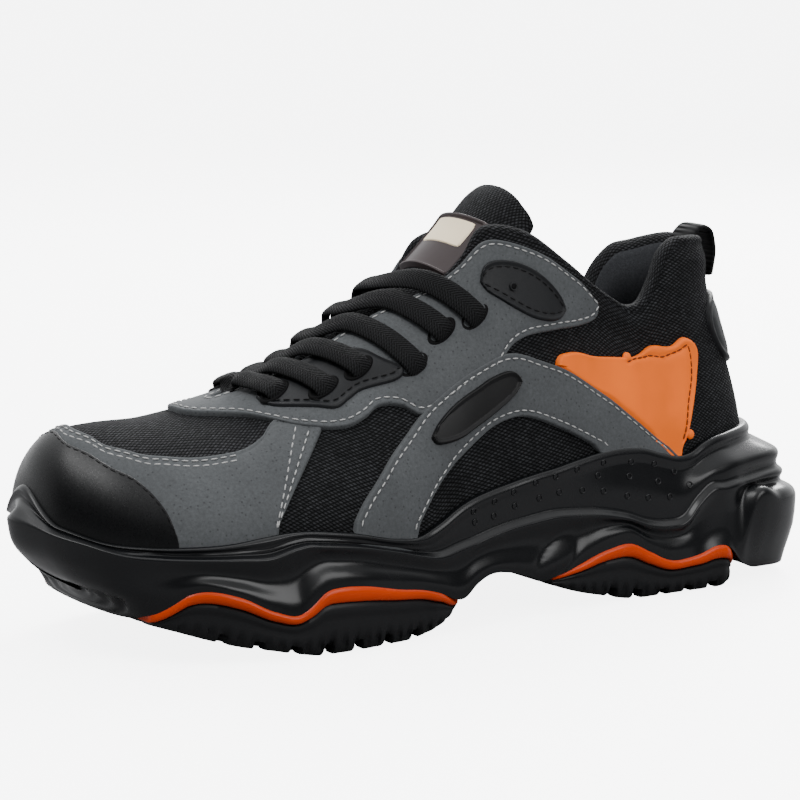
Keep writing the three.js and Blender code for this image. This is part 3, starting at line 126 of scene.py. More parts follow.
# Patterns of the overlays, row by row: a and w at one edge, then a and w at the other.
TOE_CAP = [
    (0.868, 0, 0.868, 0.03), (0.885, 0, 0.876, 0.17), (0.9, 0, 0.888, 0.27), (0.915, 0, 0.906, 0.37),
    (0.935, 0, 0.925, 0.43), (0.955, 0, 0.95, 0.53), (0.975, 0, 0.975, 0.6), (1, 0, 1, 0.65),
]
MUDGUARD = [
    (1, 0.55, 1, 0.82), (0.975, 0.5, 0.975, 0.78), (0.95, 0.42, 0.955, 0.71), (0.925, 0.3, 0.935, 0.61),
    (0.905, 0.2, 0.915, 0.57), (0.886, 0.1, 0.895, 0.53), (0.874, 0, 0.875, 0.515),
    (0.85, 0, 0.845, 0.49), (0.82, 0, 0.806, 0.48), (0.79, 0, 0.768, 0.485), (0.77, 0, 0.741, 0.53),
    (0.762, 0, 0.718, 0.62), (0.759, 0, 0.676, 0.5),
]
EYESTAY = [
    (0.262, 0.855, 0.268, 0.91), (0.28, 0.735, 0.288, 0.943), (0.31, 0.63, 0.315, 0.943),
    (0.345, 0.555, 0.345, 0.932), (0.385, 0.515, 0.372, 0.94), (0.412, 0.48, 0.393, 0.955),
    (0.44, 0.43, 0.418, 0.968), (0.475, 0.42, 0.45, 0.985), (0.515, 0.4, 0.495, 0.985),
    (0.554, 0.42, 0.55, 0.985), (0.575, 0.49, 0.58, 0.985), (0.602, 0.52, 0.61, 0.985),
    (0.622, 0.49, 0.64, 0.985), (0.644, 0.47, 0.665, 0.985), (0.667, 0.48, 0.69, 0.985),
    (0.704, 0.55, 0.715, 0.985), (0.723, 0.62, 0.735, 0.985), (0.75, 0.72, 0.745, 0.985),
    (0.785, 0.8, 0.754, 0.985), (0.815, 0.86, 0.76, 0.992), (0.832, 0.94, 0.763, 0.997),
    (0.836, 1, 0.764, 1),
]
EYESTAY_PATCH = [
    (0.728, 0.76, 0.724, 0.835), (0.716, 0.69, 0.712, 0.9), (0.697, 0.642, 0.695, 0.945),
    (0.677, 0.602, 0.68, 0.955), (0.655, 0.56, 0.66, 0.95), (0.635, 0.585, 0.638, 0.915),
    (0.62, 0.603, 0.616, 0.86), (0.596, 0.598, 0.598, 0.805), (0.574, 0.59, 0.582, 0.72),
    (0.555, 0.6, 0.564, 0.65),
]
ANKLE_PATCH = [
    (0.431, 0.79, 0.43, 0.84), (0.42, 0.735, 0.415, 0.86), (0.407, 0.68, 0.393, 0.853),
    (0.387, 0.62, 0.37, 0.84), (0.366, 0.585, 0.35, 0.81), (0.346, 0.59, 0.335, 0.77),
    (0.326, 0.64, 0.322, 0.705),
]
SIDE_BAND = [
    (0.667, 0, 0.582, 0), (0.65, 0.11, 0.568, 0.06), (0.625, 0.22, 0.545, 0.125),
    (0.591, 0.34, 0.52, 0.16), (0.552, 0.42, 0.5, 0.18), (0.517, 0.45, 0.476, 0.21),
    (0.48, 0.48, 0.457, 0.23), (0.439, 0.49, 0.437, 0.235), (0.402, 0.46, 0.415, 0.225),
    (0.372, 0.42, 0.39, 0.195), (0.34, 0.38, 0.362, 0.14), (0.31, 0.33, 0.335, 0.075),
    (0.282, 0.27, 0.318, 0.03), (0.258, 0.19, 0.3, 0), (0.235, 0.11, 0.272, 0), (0.214, 0.045, 0.245, 0),
    (0.194, 0, 0.22, 0),
]
BAND_PAD = [
    (0.552, 0.305, 0.55, 0.328), (0.536, 0.268, 0.529, 0.36), (0.513, 0.242, 0.51, 0.384),
    (0.475, 0.26, 0.472, 0.413), (0.448, 0.283, 0.447, 0.427), (0.425, 0.303, 0.42, 0.412),
    (0.404, 0.33, 0.4, 0.368),
]
HEEL_PANEL = [
    (0.356, 0.36, 0.35, 0.44), (0.33, 0.3, 0.318, 0.488), (0.305, 0.25, 0.287, 0.512),
    (0.285, 0.2, 0.243, 0.6), (0.273, 0.155, 0.226, 0.642), (0.262, 0.12, 0.207, 0.703),
    (0.243, 0.05, 0.181, 0.745),
    (0.23, 0, 0.158, 0.615), (0.218, 0, 0.141, 0.55), (0.211, 0, 0.132, 0.478), (0.206, 0, 0.142, 0.365),
    (0.203, 0, 0.16, 0.24), (0.2, 0, 0.18, 0.12),
]
# The sewn groove of the heel panel and the two small nubs on its edge, in a and w.
HEEL_CHANNEL = [
    (0.24, 0.57), (0.218, 0.65), (0.193, 0.685), (0.17, 0.62), (0.152, 0.545), (0.143, 0.5), (0.149, 0.381),
    (0.165, 0.274), (0.179, 0.162), (0.19, 0.089),
]
HEEL_NUBS = ((0.236, 0.614), (0.176, 0.095))
HEEL_TAB = [
    (0.092, 0.45, 0.092, 0.6), (0.07, 0.36, 0.072, 0.67), (0.035, 0.32, 0.038, 0.73), (0, 0.3, 0, 0.75),
]
SLOTS = [
    (0.707, 0.78, 0.728), (0.66, 0.69, 0.694), (0.612, 0.71, 0.652), (0.547, 0.62, 0.598),
    (0.502, 0.71, 0.546), (0.45, 0.7, 0.496),
]
CREST = [
    (72.5, 63.8), (69.2, 66.6), (66, 70.2), (62.4, 75.2), (58.2, 81.4), (54, 87.3),
]
TONGUE = [
    (77.5, 54, 0, 0), (74.8, 55.4, 0.05, 0), (70.5, 60.2, 0.15, 0.05), (66.5, 65.2, 0.3, 0.1),
    (62.5, 70.9, 0.45, 0.15), (58, 77.7, 0.65, 0.2), (54, 83.4, 0.8, 0.3), (48.8, 89, 0.95, 0.4),
    (44.5, 97.5, 1, 0.65), (42, 103.4, 1, 0.9), (40, 107.6, 1, 1), (38.3, 110, 0.95, 0.8),
    (37.1, 110.6, 0.85, 0.45),
]
LOOP_ARCH = [
    (-6.5, 0.5), (-3.6, 5.2), (-0.5, 7.2), (3.2, 6.2), (5.2, 0.5),
]


# The shoe's form
class Smooth:
    """Smooth curve through the rows of a table."""

    def __init__(self, xs, ys):
        self.x, self.y = np.asarray(xs, float), np.asarray(ys, float)
        self.h = np.diff(self.x)
        d = np.diff(self.y) / self.h
        self.m = np.empty_like(self.y)
        self.m[1:-1] = (d[:-1] * self.h[1:] + d[1:] * self.h[:-1]) / (self.h[:-1] + self.h[1:])
        self.m[0], self.m[-1] = d[0], d[-1]

    def __call__(self, x):
        x = np.asarray(x, float)
        k = np.clip(np.searchsorted(self.x, x, side="right") - 1, 0, len(self.x) - 2)
        h = self.h[k]
        u = np.clip((x - self.x[k]) / h, 0, 1)
        v = 1 - u
        return (self.y[k] * (1 + 2 * u) * v * v + self.m[k] * h * u * v * v
                + self.y[k + 1] * u * u * (3 - 2 * u) - self.m[k + 1] * h * u * u * v)


def column(rows, names, name):
    return np.array([row[names.index(name)] for row in rows], float)


def round_the_shoe(rows, names, outer, inner, sign=1):
    a, out, back = column(rows, names, "a"), sign * column(rows, names, outer), column(rows, names, inner)
    xs, ys = [], []
    for turn in (-2, 0, 2):
        xs += list(a + turn) + list(2 - a[-2:0:-1] + turn)
        ys += list(out) + list(back[-2:0:-1])
    curve = Smooth(xs, ys)
    return lambda x: curve(np.mod(x, 2))


def along(rows, names, name):
    xs = column(rows, names, "t")
    curve = Smooth(xs, column(rows, names, name))
    return lambda x: curve(np.clip(x, xs[0], xs[-1]))


upper_t, upper_z = [round_the_shoe(UPPER_ROWS, UPPER_COLUMNS, n, n) for n in ("tf", "zf")]
edge_t, edge_z = [round_the_shoe(EDGE_ROWS, EDGE_COLUMNS, n, n) for n in ("te", "ze")]
rise, lean, reach, drop = [round_the_shoe(UPPER_ROWS, UPPER_COLUMNS, n, n)
                           for n in ("rise", "lean", "reach", "drop")]
upper_y = round_the_shoe(UPPER_ROWS, UPPER_COLUMNS, "lat", "med", -1)
edge_y = round_the_shoe(EDGE_ROWS, EDGE_COLUMNS, "half", "half", -1)
outline_t = round_the_shoe(OUTLINE_ROWS, OUTLINE_COLUMNS, "t", "t")
outline_y = round_the_shoe(OUTLINE_ROWS, OUTLINE_COLUMNS, "lat", "med", -1)
level = {n: along(LEVEL_ROWS, LEVEL_COLUMNS, n) for n in LEVEL_COLUMNS[1:]}
inset = {n: along(INSET_ROWS, INSET_COLUMNS, n) for n in INSET_COLUMNS[1:]}


def ramp(x, start, end):
    k = np.clip((np.asarray(x, float) - start) / (end - start), 0, 1)
    return k * k * (3 - 2 * k)


def bell(x, middle, half):
    return np.exp(-((np.asarray(x, float) - middle) / half) ** 2)


def unit(v):
    return v / np.maximum(np.linalg.norm(v, axis=-1, keepdims=True), 1e-9)


def towards_toe(a):
    return np.minimum(np.mod(a, 2), 2 - np.mod(a, 2))


def inner_flap(a):
    """How much lower the inner flap of the throat stands than the outer one."""
    m = towards_toe(a)
    fall = 4.2 * ramp(m, 0.03, 0.11) + 4.5 * bell(m, 0.15, 0.035) + 4.3 * ramp(m, 0.33, 0.42)
    return np.where(np.mod(a, 2) > 1, fall * (1 - ramp(m, 0.6, 0.76)), 0)


def ridge_swing(m):
    return np.interp(m, *RIDGE_SWING)


def outwards(t_of, y_of, a):
    dt, dy = (t_of(a + 0.001) - t_of(a - 0.001)) * L, (y_of(a + 0.001) - y_of(a - 0.001)) * W
    n = np.hypot(dt, dy)
    return -dy / n, -dt / n


def skin(a, v):
    """Point of the upper's skin, v from 0 at the feather line to 1 at the top edge."""
    a, v = np.broadcast_arrays(np.asarray(a, float), np.asarray(v, float))
    m = towards_toe(a)
    tf, yf, zf = upper_t(a) * L, upper_y(a) * W, upper_z(a) * S
    te, ze = edge_t(a) * L, edge_z(a) * U - inner_flap(a)
    ye = np.where(m >= THROAT_END, 0, edge_y(a) * W) + ridge_swing(m) * W
    ox, oy = outwards(upper_t, upper_y, a)
    gt, gy = tf - te, yf - ye
    r = reach(a) * W / np.hypot(gt, gy)
    closed = ramp(m, THROAT_END - 0.05, THROAT_END + 0.07)
    e = 0.02
    fall = (edge_z(m + e) - edge_z(m - e)) * U / ((edge_t(m + e) - edge_t(m - e)) * L + 1e-12)
    slope = np.where(m > 1 - e, 0.05, np.clip(fall, -1, 1))
    slope = slope + (0.05 - slope) * ramp(m, 0.9, 0.98)
    p = (tf, yf, zf)
    q = (tf - ox * lean(a) * W, yf + oy * lean(a) * W, zf + rise(a) * U)
    s = (te + gt * r, ye + gy * r, ze - drop(a) * U * (1 - closed) + closed * slope * gt * r)
    b = ((1 - v) ** 3, 3 * v * (1 - v) ** 2, 3 * v * v * (1 - v), v ** 3)
    t, y, z = [b[0] * p[i] + b[1] * q[i] + b[2] * s[i] + b[3] * end for i, end in enumerate((te, ye, ze))]
    return np.stack([50 * L - t, y, z], -1)


def face_normal(a, v):
    a, v = np.broadcast_arrays(np.asarray(a, float), np.asarray(v, float))
    e = 0.002
    low, high = np.maximum(v - e, 0), np.minimum(v + e, 0.995)
    da = skin(a + e, np.minimum(v, 0.99)) - skin(a - e, np.minimum(v, 0.99))
    dv = skin(a, np.maximum(high, low + e)) - skin(a, low)
    return unit(np.cross(dv, da))


def normal_at(a, v):
    """The skin's normal; over the closed vamp both halves share it along the ridge."""
    a, v = np.broadcast_arrays(np.asarray(a, float), np.asarray(v, float))
    own, other = face_normal(a, v), face_normal(2 - a, v)
    k = (ramp(v, 0.86, 1) * ramp(towards_toe(a), THROAT_END - 0.012, THROAT_END + 0.02))[..., None]
    return unit(own * (1 - k) + unit(own + other) * k)


def on_upper(a, v, h):
    return skin(a, v) + normal_at(a, v) * np.asarray(h, float)[..., None]


def crossing(a, height):
    """Where the skin passes a height over the sole's edges."""
    low, high = np.zeros_like(a), np.full_like(a, 0.7)
    for _ in range(24):
        v = (low + high) / 2
        p = skin(a, v)
        below = p[..., 2] < height(a, (50 * L - p[..., 0]) / L)
        low, high = np.where(below, v, low), np.where(below, high, v)
    return (low + high) / 2


def rim_height(a, t):
    return level["rim"](t) * S + TOE_PEAK * (1 - ramp(1 - towards_toe(a), 0, 0.035))


ROUND = np.linspace(0, 2, 1601)
RIM_START = crossing(ROUND, lambda a, t: rim_height(a, t) + PANEL_LIFT)


def rim_start(a):
    return np.interp(np.mod(a, 2), ROUND, RIM_START)


def on_panel(a, w, h):
    start = rim_start(a)
    return on_upper(a, start + w * (1 - start), h)


def panel_normal(a, w):
    start = rim_start(a)
    return normal_at(a, start + w * (1 - start))


def wall_at(a, v):
    collar = 1 - ramp(towards_toe(a), 0.36, 0.46)
    return WALL + COLLAR_PAD * collar * ramp(v, 0.5, 0.8) * (1 - 0.1 * ramp(v, 0.9, 1))


def steps(length, spacing):
    return max(int(math.ceil(length / spacing)), 2) + 1


def run_of(points):
    """Distances along a line of points."""
    return np.concatenate([[0], np.cumsum(np.linalg.norm(np.diff(points, axis=0), axis=1))])


# The bench: making meshes
def only(obj):
    bpy.ops.object.select_all(action="DESELECT")
    obj.select_set(True)
    bpy.context.view_layer.objects.active = obj


def weld(obj, gap=0.02):
    only(obj)
    bpy.ops.object.mode_set(mode="EDIT")
    bpy.ops.mesh.select_all(action="SELECT")
    bpy.ops.mesh.remove_doubles(threshold=gap * MM)
    bpy.ops.object.mode_set(mode="OBJECT")


def face_out(obj):
    only(obj)
    bpy.ops.object.mode_set(mode="EDIT")
    bpy.ops.mesh.select_all(action="SELECT")
    bpy.ops.mesh.normals_make_consistent(inside=False)
    bpy.ops.object.mode_set(mode="OBJECT")


def shade(obj, angle=40):
    only(obj)
    bpy.ops.object.shade_smooth_by_angle(angle=math.radians(angle))


def add_wall(obj, thick):
    """Gives a sheet its inner face."""
    only(obj)
    wall = obj.modifiers.new("wall", "SOLIDIFY")
    wall.thickness, wall.offset = thick * MM, -1
    bpy.ops.object.modifier_apply(modifier=wall.name)


def lay_sheet(name, points, uv=None, out=None):
    """A flat grid of cloth or rubber laid on a form: points[row][column] in mm."""
    rows, columns = points.shape[:2]
    if out is not None:
        i, j = rows // 2, columns // 2
        du, dv = points[i, j + 1] - points[i, j - 1], points[i + 1, j] - points[i - 1, j]
        if np.dot(np.cross(du, dv), out) < 0:
            points = points[:, ::-1]
            uv = None if uv is None else uv[:, ::-1]
    bpy.ops.object.select_all(action="DESELECT")
    bpy.ops.mesh.primitive_grid_add(x_subdivisions=columns - 1, y_subdivisions=rows - 1, size=0.1)
    obj = bpy.context.object
    obj.name = obj.data.name = name
    mesh = obj.data
    assert len(mesh.vertices) == rows * columns
    mesh.vertices.foreach_set("co", ((points.reshape(-1, 3) + SHIFT) * MM).ravel())
    if uv is not None:
        corner = np.zeros(len(mesh.loops), int)
        mesh.loops.foreach_get("vertex_index", corner)
        mesh.uv_layers[0].data.foreach_set("uv", uv.reshape(-1, 2)[corner].ravel())
    mesh.update()
    return obj


def join(name, *parts):
    only(parts[0])
    for part in parts[1:]:
        part.select_set(True)
    if len(parts) > 1:
        bpy.ops.object.join()
    obj = bpy.context.object
    obj.name = obj.data.name = name
    return obj


def take(obj):
    """A small modelled form as points and faces, to be set many times; the object goes."""
    only(obj)
    bpy.ops.object.transform_apply(location=True, rotation=True, scale=True)
    points = np.array([v.co for v in obj.data.vertices])
    faces = [tuple(p.vertices) for p in obj.data.polygons]
    bpy.data.objects.remove(obj)
    return points, faces


def level_axes(n):
    """Axes on a face with normal n: level along it, across it and out of it."""
    along = unit(np.cross(n, [0, 0, 1.0]))
    return np.stack([along, np.cross(n, along), n])


def set_many(name, form, places, axes):
    """Copies of one small form (mm) at places (mm), turned to axes (along, across, out)."""
    points, faces = form
    count = len(places)
    laid = np.einsum("pi,kij->kpj", points, np.asarray(axes)) + np.asarray(places)[:, None, :]
    mesh = bpy.data.meshes.new(name)
    all_faces = [tuple(i + k * len(points) for i in face) for k in range(count) for face in faces]
    mesh.from_pydata(((laid.reshape(-1, 3) + SHIFT) * MM).tolist(), [], all_faces)
    obj = bpy.data.objects.new(name, mesh)
    bpy.context.scene.collection.objects.link(obj)
    mesh.shade_smooth()
    return obj


def dress(obj, slot, material, *nodes):
    """The piece rides on the shoe, stands for its solids and gets its finish."""
    if not obj.data.materials:
        for one in (material if isinstance(material, (list, tuple)) else [material]):
            obj.data.materials.append(one)
    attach(obj, "root")
    if nodes:
        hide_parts(*nodes)
    return obj


# Cut and sewn panels
class Pattern:
    """A panel's paper pattern: pairs of places on the upper, s along it and u across, in mm."""

    def __init__(self, rows, side=1):
        rows = np.array(rows, float)
        if side < 0:
            rows[:, 0], rows[:, 2] = 2 - rows[:, 0], 2 - rows[:, 2]
        near, far = on_panel(rows[:, 0], rows[:, 1], 0), on_panel(rows[:, 2], rows[:, 3], 0)
        gap = sum(np.linalg.norm(np.diff(end, axis=0), axis=1) for end in (near, far)) / 2
        s = np.concatenate([[0], np.cumsum(np.maximum(gap, 0.5))])
        self.length = s[-1]
        self.curves = [Smooth(s, rows[:, k]) for k in range(4)]

    def place(self, s, u):
        a0, w0, a1, w1 = [curve(s) for curve in self.curves]
        a, w = a0 + (a1 - a0) * u, np.clip(w0, 0, 1) + (np.clip(w1, 0, 1) - np.clip(w0, 0, 1)) * u
        return a, w - 0.06 * np.clip(1 - w / 0.04, 0, 1)  # runs on under the sole's lip

    def width(self, s):
        first, last = [on_panel(*self.place(s, u), 0) for u in (0, 1)]
        return np.maximum(np.linalg.norm(last - first, axis=-1), 0.2)

    def lip(self, s, u):
        """How far an edge is under the sole's lip, where it needs no cut edge."""
        w = self.place(s, u)[1]
        return np.clip((-0.008 - w) / 0.03, 0, 1)


def mirrored(rows):
    """Both sides of a panel that runs on round the toe (a is 1) or the heel (a is 0)."""
    middle = 2 * rows[-1][0]
    return list(rows) + [(middle - a, w, middle - b, x) for a, w, b, x in rows[-2::-1]]


NO_SEAM = 99  # farther in than any panel reaches
NEAR_EDGE = (0, 0.1, 0.3, 0.6, 1.0, 1.5, 2.0, 2.5, 3.1, 4.0)


def cut_panel(name, pattern, thick, low=-0.4, base=0.0, soft=0.5, seam=2.1, dent=0.22, puff=0.15,
              corner=2.5, ends=(True, True), fine=1.2, relief=None):
    """A panel with rounded cut edges, dented along its seam and a little full inside it."""
    total = pattern.length
    inner = np.linspace(0, total, 12)[1:-1]
    if total > 12:
        inner = np.linspace(4.4, total - 4.4, steps(total - 8.8, fine))
    edge = np.array(NEAR_EDGE)
    s = np.unique(np.concatenate([edge[edge < total / 2], inner, total - edge[edge < total / 2]]))
    width = pattern.width(s)
    count = steps(max(width.max() - 8, 2), 1.7)
    near = np.minimum(edge[None, :] / width[:, None], 0.42 * edge[None, :] / edge[-1])
    mid = near[:, -1:] + (1 - 2 * near[:, -1:]) * np.linspace(0, 1, count)[None, 1:-1]
    u = np.concatenate([near, mid, 1 - near[:, ::-1]], 1)
    ss = np.repeat(s[:, None], u.shape[1], 1)
    a, w = pattern.place(ss, u)
    free0, free1 = 30 * pattern.lip(s, 0)[:, None], 30 * pattern.lip(s, 1)[:, None]
    across = np.minimum(u * width[:, None] + free0, (1 - u) * width[:, None] + free1)
    far = np.full_like(ss, 99.0)
    for wanted, d in ((ends[0], ss), (ends[1], total - ss)):
        if wanted:
            far = np.minimum(far, d)
    d = np.minimum(across, far)
    if corner:
        near_corner = (across < corner) & (far < corner)
        d = np.where(near_corner, corner - np.hypot(corner - across, corner - far), d)
    full = base + thick
    x = np.clip(d / soft, 0, 1)
    h = low + (full - low) * np.sqrt(np.clip(1 - (1 - x) ** 2, 0, 1))
    h = h - dent * bell(d, seam, 0.5) + puff * ramp(d, seam + 0.5, seam + 4)
    h = np.where(d < 0, low, h)
    points = on_panel(a, w, 0)
    uv = np.stack([np.repeat(s[:, None], u.shape[1], 1), (u - 0.5) * width[:, None]], -1)
    if relief is not None:
        h = h + relief(ss, u, d, points)
    normals = panel_normal(a, w)
    points = points + normals * h[..., None]
    obj = lay_sheet(name, points, uv, normals[len(s) // 2, u.shape[1] // 2])
    add_wall(obj, 0.5)
    shade(obj, 50)
    return obj


def bead_form(segments, rings, size):
    """A small rounded form, longest along its run."""
    bpy.ops.mesh.primitive_uv_sphere_add(segments=segments, ring_count=rings, radius=1,
                                         rotation=(0, math.pi / 2, 0))
    obj = bpy.context.object
    bpy.ops.object.transform_apply(rotation=True)
    obj.scale = size
    return take(obj)


def ring_form(radius, thick, segments=16, sides=6):
    bpy.ops.mesh.primitive_torus_add(major_radius=radius, minor_radius=thick,
                                     major_segments=segments, minor_segments=sides)
    return take(bpy.context.object)


STITCH = bead_form(6, 4, (1.25, 0.3, 0.27))
NUB = bead_form(12, 8, (1.9, 1.9, 1.1))


def line_on_panel(places, side, height):
    """A smooth line over the upper through places (a, w), with its normals."""
    rows = np.array(places, float)
    k = np.linspace(0, len(rows) - 1, 12 * len(rows))
    a, w = [Smooth(range(len(rows)), rows[:, c])(k) for c in (0, 1)]
    a = a if side > 0 else 2 - a
    n = panel_normal(a, w)
    return on_panel(a, w, 0) + n * height, n


def distance_to(points, line):
    flat = points.reshape(-1, 3)
    near = np.min([np.linalg.norm(flat - spot, axis=1) for spot in line], axis=0)
    return near.reshape(points.shape[:-1])


def seam_line(pattern, edge, off, height, start=0.0, end=1.0, skip_lip=True):
    """Line of a seam: along edge 0 or 1, or across at the pattern's first or last end."""
    if edge in (0, 1):
        s = np.linspace(start * pattern.length, end * pattern.length, steps(pattern.length, 0.8))
        part = np.clip(off / pattern.width(s), 0, 0.5)
        u = part if edge == 0 else 1 - part
    else:
        u = np.linspace(start, end, 160)
        s = np.full_like(u, off if edge == "first" else pattern.length - off)
    a, w = pattern.place(s, u)
    keep = w > (0.012 if skip_lip else -1)
    n = panel_normal(a, w)
    return (on_panel(a, w, 0) + n * height)[keep], n[keep]


def sew(name, lines, material, slot, pitch=3.2, form=None):
    """Stitches set one after another along seam lines."""
    spots, frames = [], []
    for line, normals in lines:
        if len(line) < 3:
            continue
        d = run_of(line)
        count = int(d[-1] / pitch)
        if count < 1:
            continue
        at = (np.arange(count) + 0.5) * d[-1] / count
        p = np.stack([np.interp(at, d, line[:, k]) for k in range(3)], -1)
        q = np.stack([np.interp(np.minimum(at + 0.5, d[-1]), d, line[:, k]) for k in range(3)], -1)
        b = np.stack([np.interp(np.maximum(at - 0.5, 0), d, line[:, k]) for k in range(3)], -1)
        n = unit(np.stack([np.interp(at, d, normals[:, k]) for k in range(3)], -1))
        run = unit(q - b)
        run = unit(run - n * (run * n).sum(-1, keepdims=True))
        spots.append(p)
        frames.append(np.stack([run, np.cross(n, run), n], 1))
    obj = set_many(name, form or STITCH, np.concatenate(spots), np.concatenate(frames))
    return dress(obj, slot, material)


# Upper, lining and collar
def loop_uv(points, start=0.0):
    """Distances in mm along and up a grid, for a knit that follows the form."""
    middle = points[:, points.shape[1] // 2]
    su = run_of(middle)
    sv = np.concatenate([np.zeros((len(points), 1)),
                         np.cumsum(np.linalg.norm(np.diff(points, axis=1), axis=2), axis=1)], 1)
    return np.stack([np.repeat(su[:, None], points.shape[1], 1), sv + start], -1)


def knit_upper():
    a = np.unique(np.concatenate([np.linspace(0, 2, 460), [THROAT_END, 2 - THROAT_END]]))
    v = np.concatenate([np.linspace(0, 0.9, 46), np.linspace(0.9, 1, 9)[1:]])
    A, V = np.meshgrid(a, v, indexing="ij")
    A = np.where(A > 1.9999999, 2, A)
    start = np.maximum(rim_start(A) - 0.1, 0.02)
    VV = start + V * (1 - start)
    full = 1.5 * bell(VV, 0.93, 0.07) * (1 - ramp(towards_toe(A), 0.2, 0.3))
    outer = on_upper(A, VV, full)
    uv = loop_uv(outer)
    body = lay_sheet("knit_upper", outer, uv, face_normal(a[len(a) // 2], 0.6))
    # over the toe the knit lies in plan, so its rows run straight across the vamp
    mesh = body.data
    corner = np.zeros(len(mesh.loops), int)
    mesh.loops.foreach_get("vertex_index", corner)
    where = np.zeros(len(mesh.loops) * 2)
    mesh.uv_layers[0].data.foreach_get("uv", where)
    where = where.reshape(-1, 2)
    m = towards_toe(A).ravel()
    w = V.ravel()
    switch = np.interp(w, (0, 0.5, 0.62, 1), (0.785, 0.752, 0.722, 0.735))
    flat = outer.reshape(-1, 3)
    if np.dot(np.cross(outer[200, 21] - outer[200, 19], outer[201, 20] - outer[199, 20]),
              face_normal(a[200], VV[200, 20])) < 0:
        flat = outer[:, ::-1].reshape(-1, 3)
        m, switch = towards_toe(A[:, ::-1]).ravel(), switch.reshape(V.shape)[:, ::-1].ravel()
    over = (m > switch)[corner].reshape(-1, 4).all(axis=1).repeat(4)
    plan = np.stack([flat[:, 0] * 1.05, flat[:, 1] * 1.1], -1)[corner]
    where[over] = plan[over]
    mesh.uv_layers[0].data.foreach_set("uv", where.ravel())
    # lining, full at the padded collar
    va = np.linspace(0, 1, 40)
    A2, V2 = np.meshgrid(a, va, indexing="ij")
    lining_at = -wall_at(A2, V2) - 0.9 * bell(V2, 0.86, 0.1) * (1 - ramp(towards_toe(A2), 0.36, 0.44))
    inner = on_upper(A2, V2, lining_at)
    lining = lay_sheet("lining", inner, loop_uv(inner), -face_normal(a[len(a) // 2], 0.5))
    # rolled edge of the collar and throat, from outside over to the lining
    rolls = []
    for first, last in ((0, THROAT_END), (2 - THROAT_END, 2)):
        part = (a >= first - 1e-9) & (a <= last + 1e-9)
        ar = a[part]
        n = normal_at(ar, 1.0)
        fuller = 1.5 * bell(1.0, 0.93, 0.07) * (1 - ramp(towards_toe(ar), 0.2, 0.3))
        top = skin(ar, 1.0) + n * fuller[:, None]
        upwards = unit(top - skin(ar, 0.985))
        wall = np.linalg.norm(top - on_upper(ar, 1.0, lining_at[part, -1]), axis=1)
        turn = np.linspace(0, math.pi, 9)
        open_ = (1 - ramp(towards_toe(ar), 0.70, THROAT_END))[:, None, None]
        r = wall[:, None, None] / 2
        roll = (top[:, None] - n[:, None] * r * (1 - np.cos(turn))[None, :, None]
                + upwards[:, None] * r * 0.9 * open_ * np.sin(turn)[None, :, None])
        rolls.append(lay_sheet("roll", roll, loop_uv(roll, 60), unit(upwards[40])))
    for obj, index in ((body, 0), (lining, 1), (rolls[0], 0), (rolls[1], 0)):
        for one in (knit, plush):
            obj.data.materials.append(one)
        obj.data.polygons.foreach_set("material_index", [index] * len(obj.data.polygons))
    upper = join("knit_upper", body, lining, *rolls)
    weld(upper, 0.03)
    shade(upper, 60)
    dress(upper, "knit", knit, "upper")
    return upper


# Tongue, label, insole, loop
TONGUE_T, TONGUE_Z, TONGUE_W, TONGUE_K = [
    Smooth(range(len(TONGUE)), [r[k] for r in TONGUE]) for k in range(4)]


def on_tongue(u, y, h):
    last = len(TONGUE) - 1
    u, y, h = np.broadcast_arrays(np.asarray(u, float), np.asarray(y, float), np.asarray(h, float))
    x, z = 50 * L - TONGUE_T(u) * L, TONGUE_Z(u) * U
    before, after = np.maximum(u - 0.2, 0), np.minimum(u + 0.2, last)
    rx = -(TONGUE_T(after) - TONGUE_T(before)) * L
    rz = (TONGUE_Z(after) - TONGUE_Z(before)) * U
    n = np.hypot(rx, rz)
    h = h - (0.026 - 0.013 * ramp(u, 5.5, 7.5)) * y * y
    h = h - 0.28 * np.maximum(y, 0) * ramp(u, 2, 4) * (1 - ramp(u, 5.8, 7.2))
    y = y * np.where(y > 0, 0.92, 1) + 1.5 * ramp(u, 8, 10.5)
    return np.stack([x - rz / n * h, y, z + rx / n * h], -1)


def padded_tongue():
    last = len(TONGUE) - 1
    u = np.concatenate([np.linspace(0, last - 2, 70), np.linspace(last - 2, last, 22)[1:]])
    half = 15 + 6 * TONGUE_W(u)
    thick = 6 + 9 * TONGUE_K(u)
    turn = np.linspace(0, 2 * math.pi, 61)
    power = 0.62
    cx = np.sign(np.cos(turn)) * np.abs(np.cos(turn)) ** power
    cz = np.sign(np.sin(turn)) * np.abs(np.sin(turn)) ** 0.85
    close = np.sqrt(np.clip(1 - ((u - (last - 0.9)) / 0.9).clip(0, 1) ** 2, 0.0004, 1))
    foot = np.sqrt(np.clip(1 - (1 - u / 0.3).clip(0, 1) ** 2, 0.0004, 1))
    size = (close * foot)[:, None]
    y = half[:, None] * cx[None] * (0.6 + 0.4 * size)
    seam = 0.5 * bell(np.abs(cx)[None] * half[:, None], half[:, None] - 2.5, 1.2)
    h = -thick[:, None] / 2 + thick[:, None] / 2 * cz[None] * size - seam * np.sign(cz)[None] * size
    points = on_tongue(u[:, None], y, h)
    run = run_of(points[:, 15])
    around = run_of(points[40])
    uv = np.stack(np.meshgrid(run, around, indexing="ij"), -1)
    obj = lay_sheet("tongue_padded", points, uv)
    weld(obj)
    face_out(obj)
    shade(obj, 60)
    dress(obj, "knit", knit, "tongue")
    return obj


def rounded_distance(x, y, half_x, half_y, radius):
    """Distance inside a rounded rectangle's edge."""
    qx, qy = np.abs(x) - half_x + radius, np.abs(y) - half_y + radius
    return radius - np.hypot(np.maximum(qx, 0), np.maximum(qy, 0)) - np.minimum(np.maximum(qx, qy), 0)


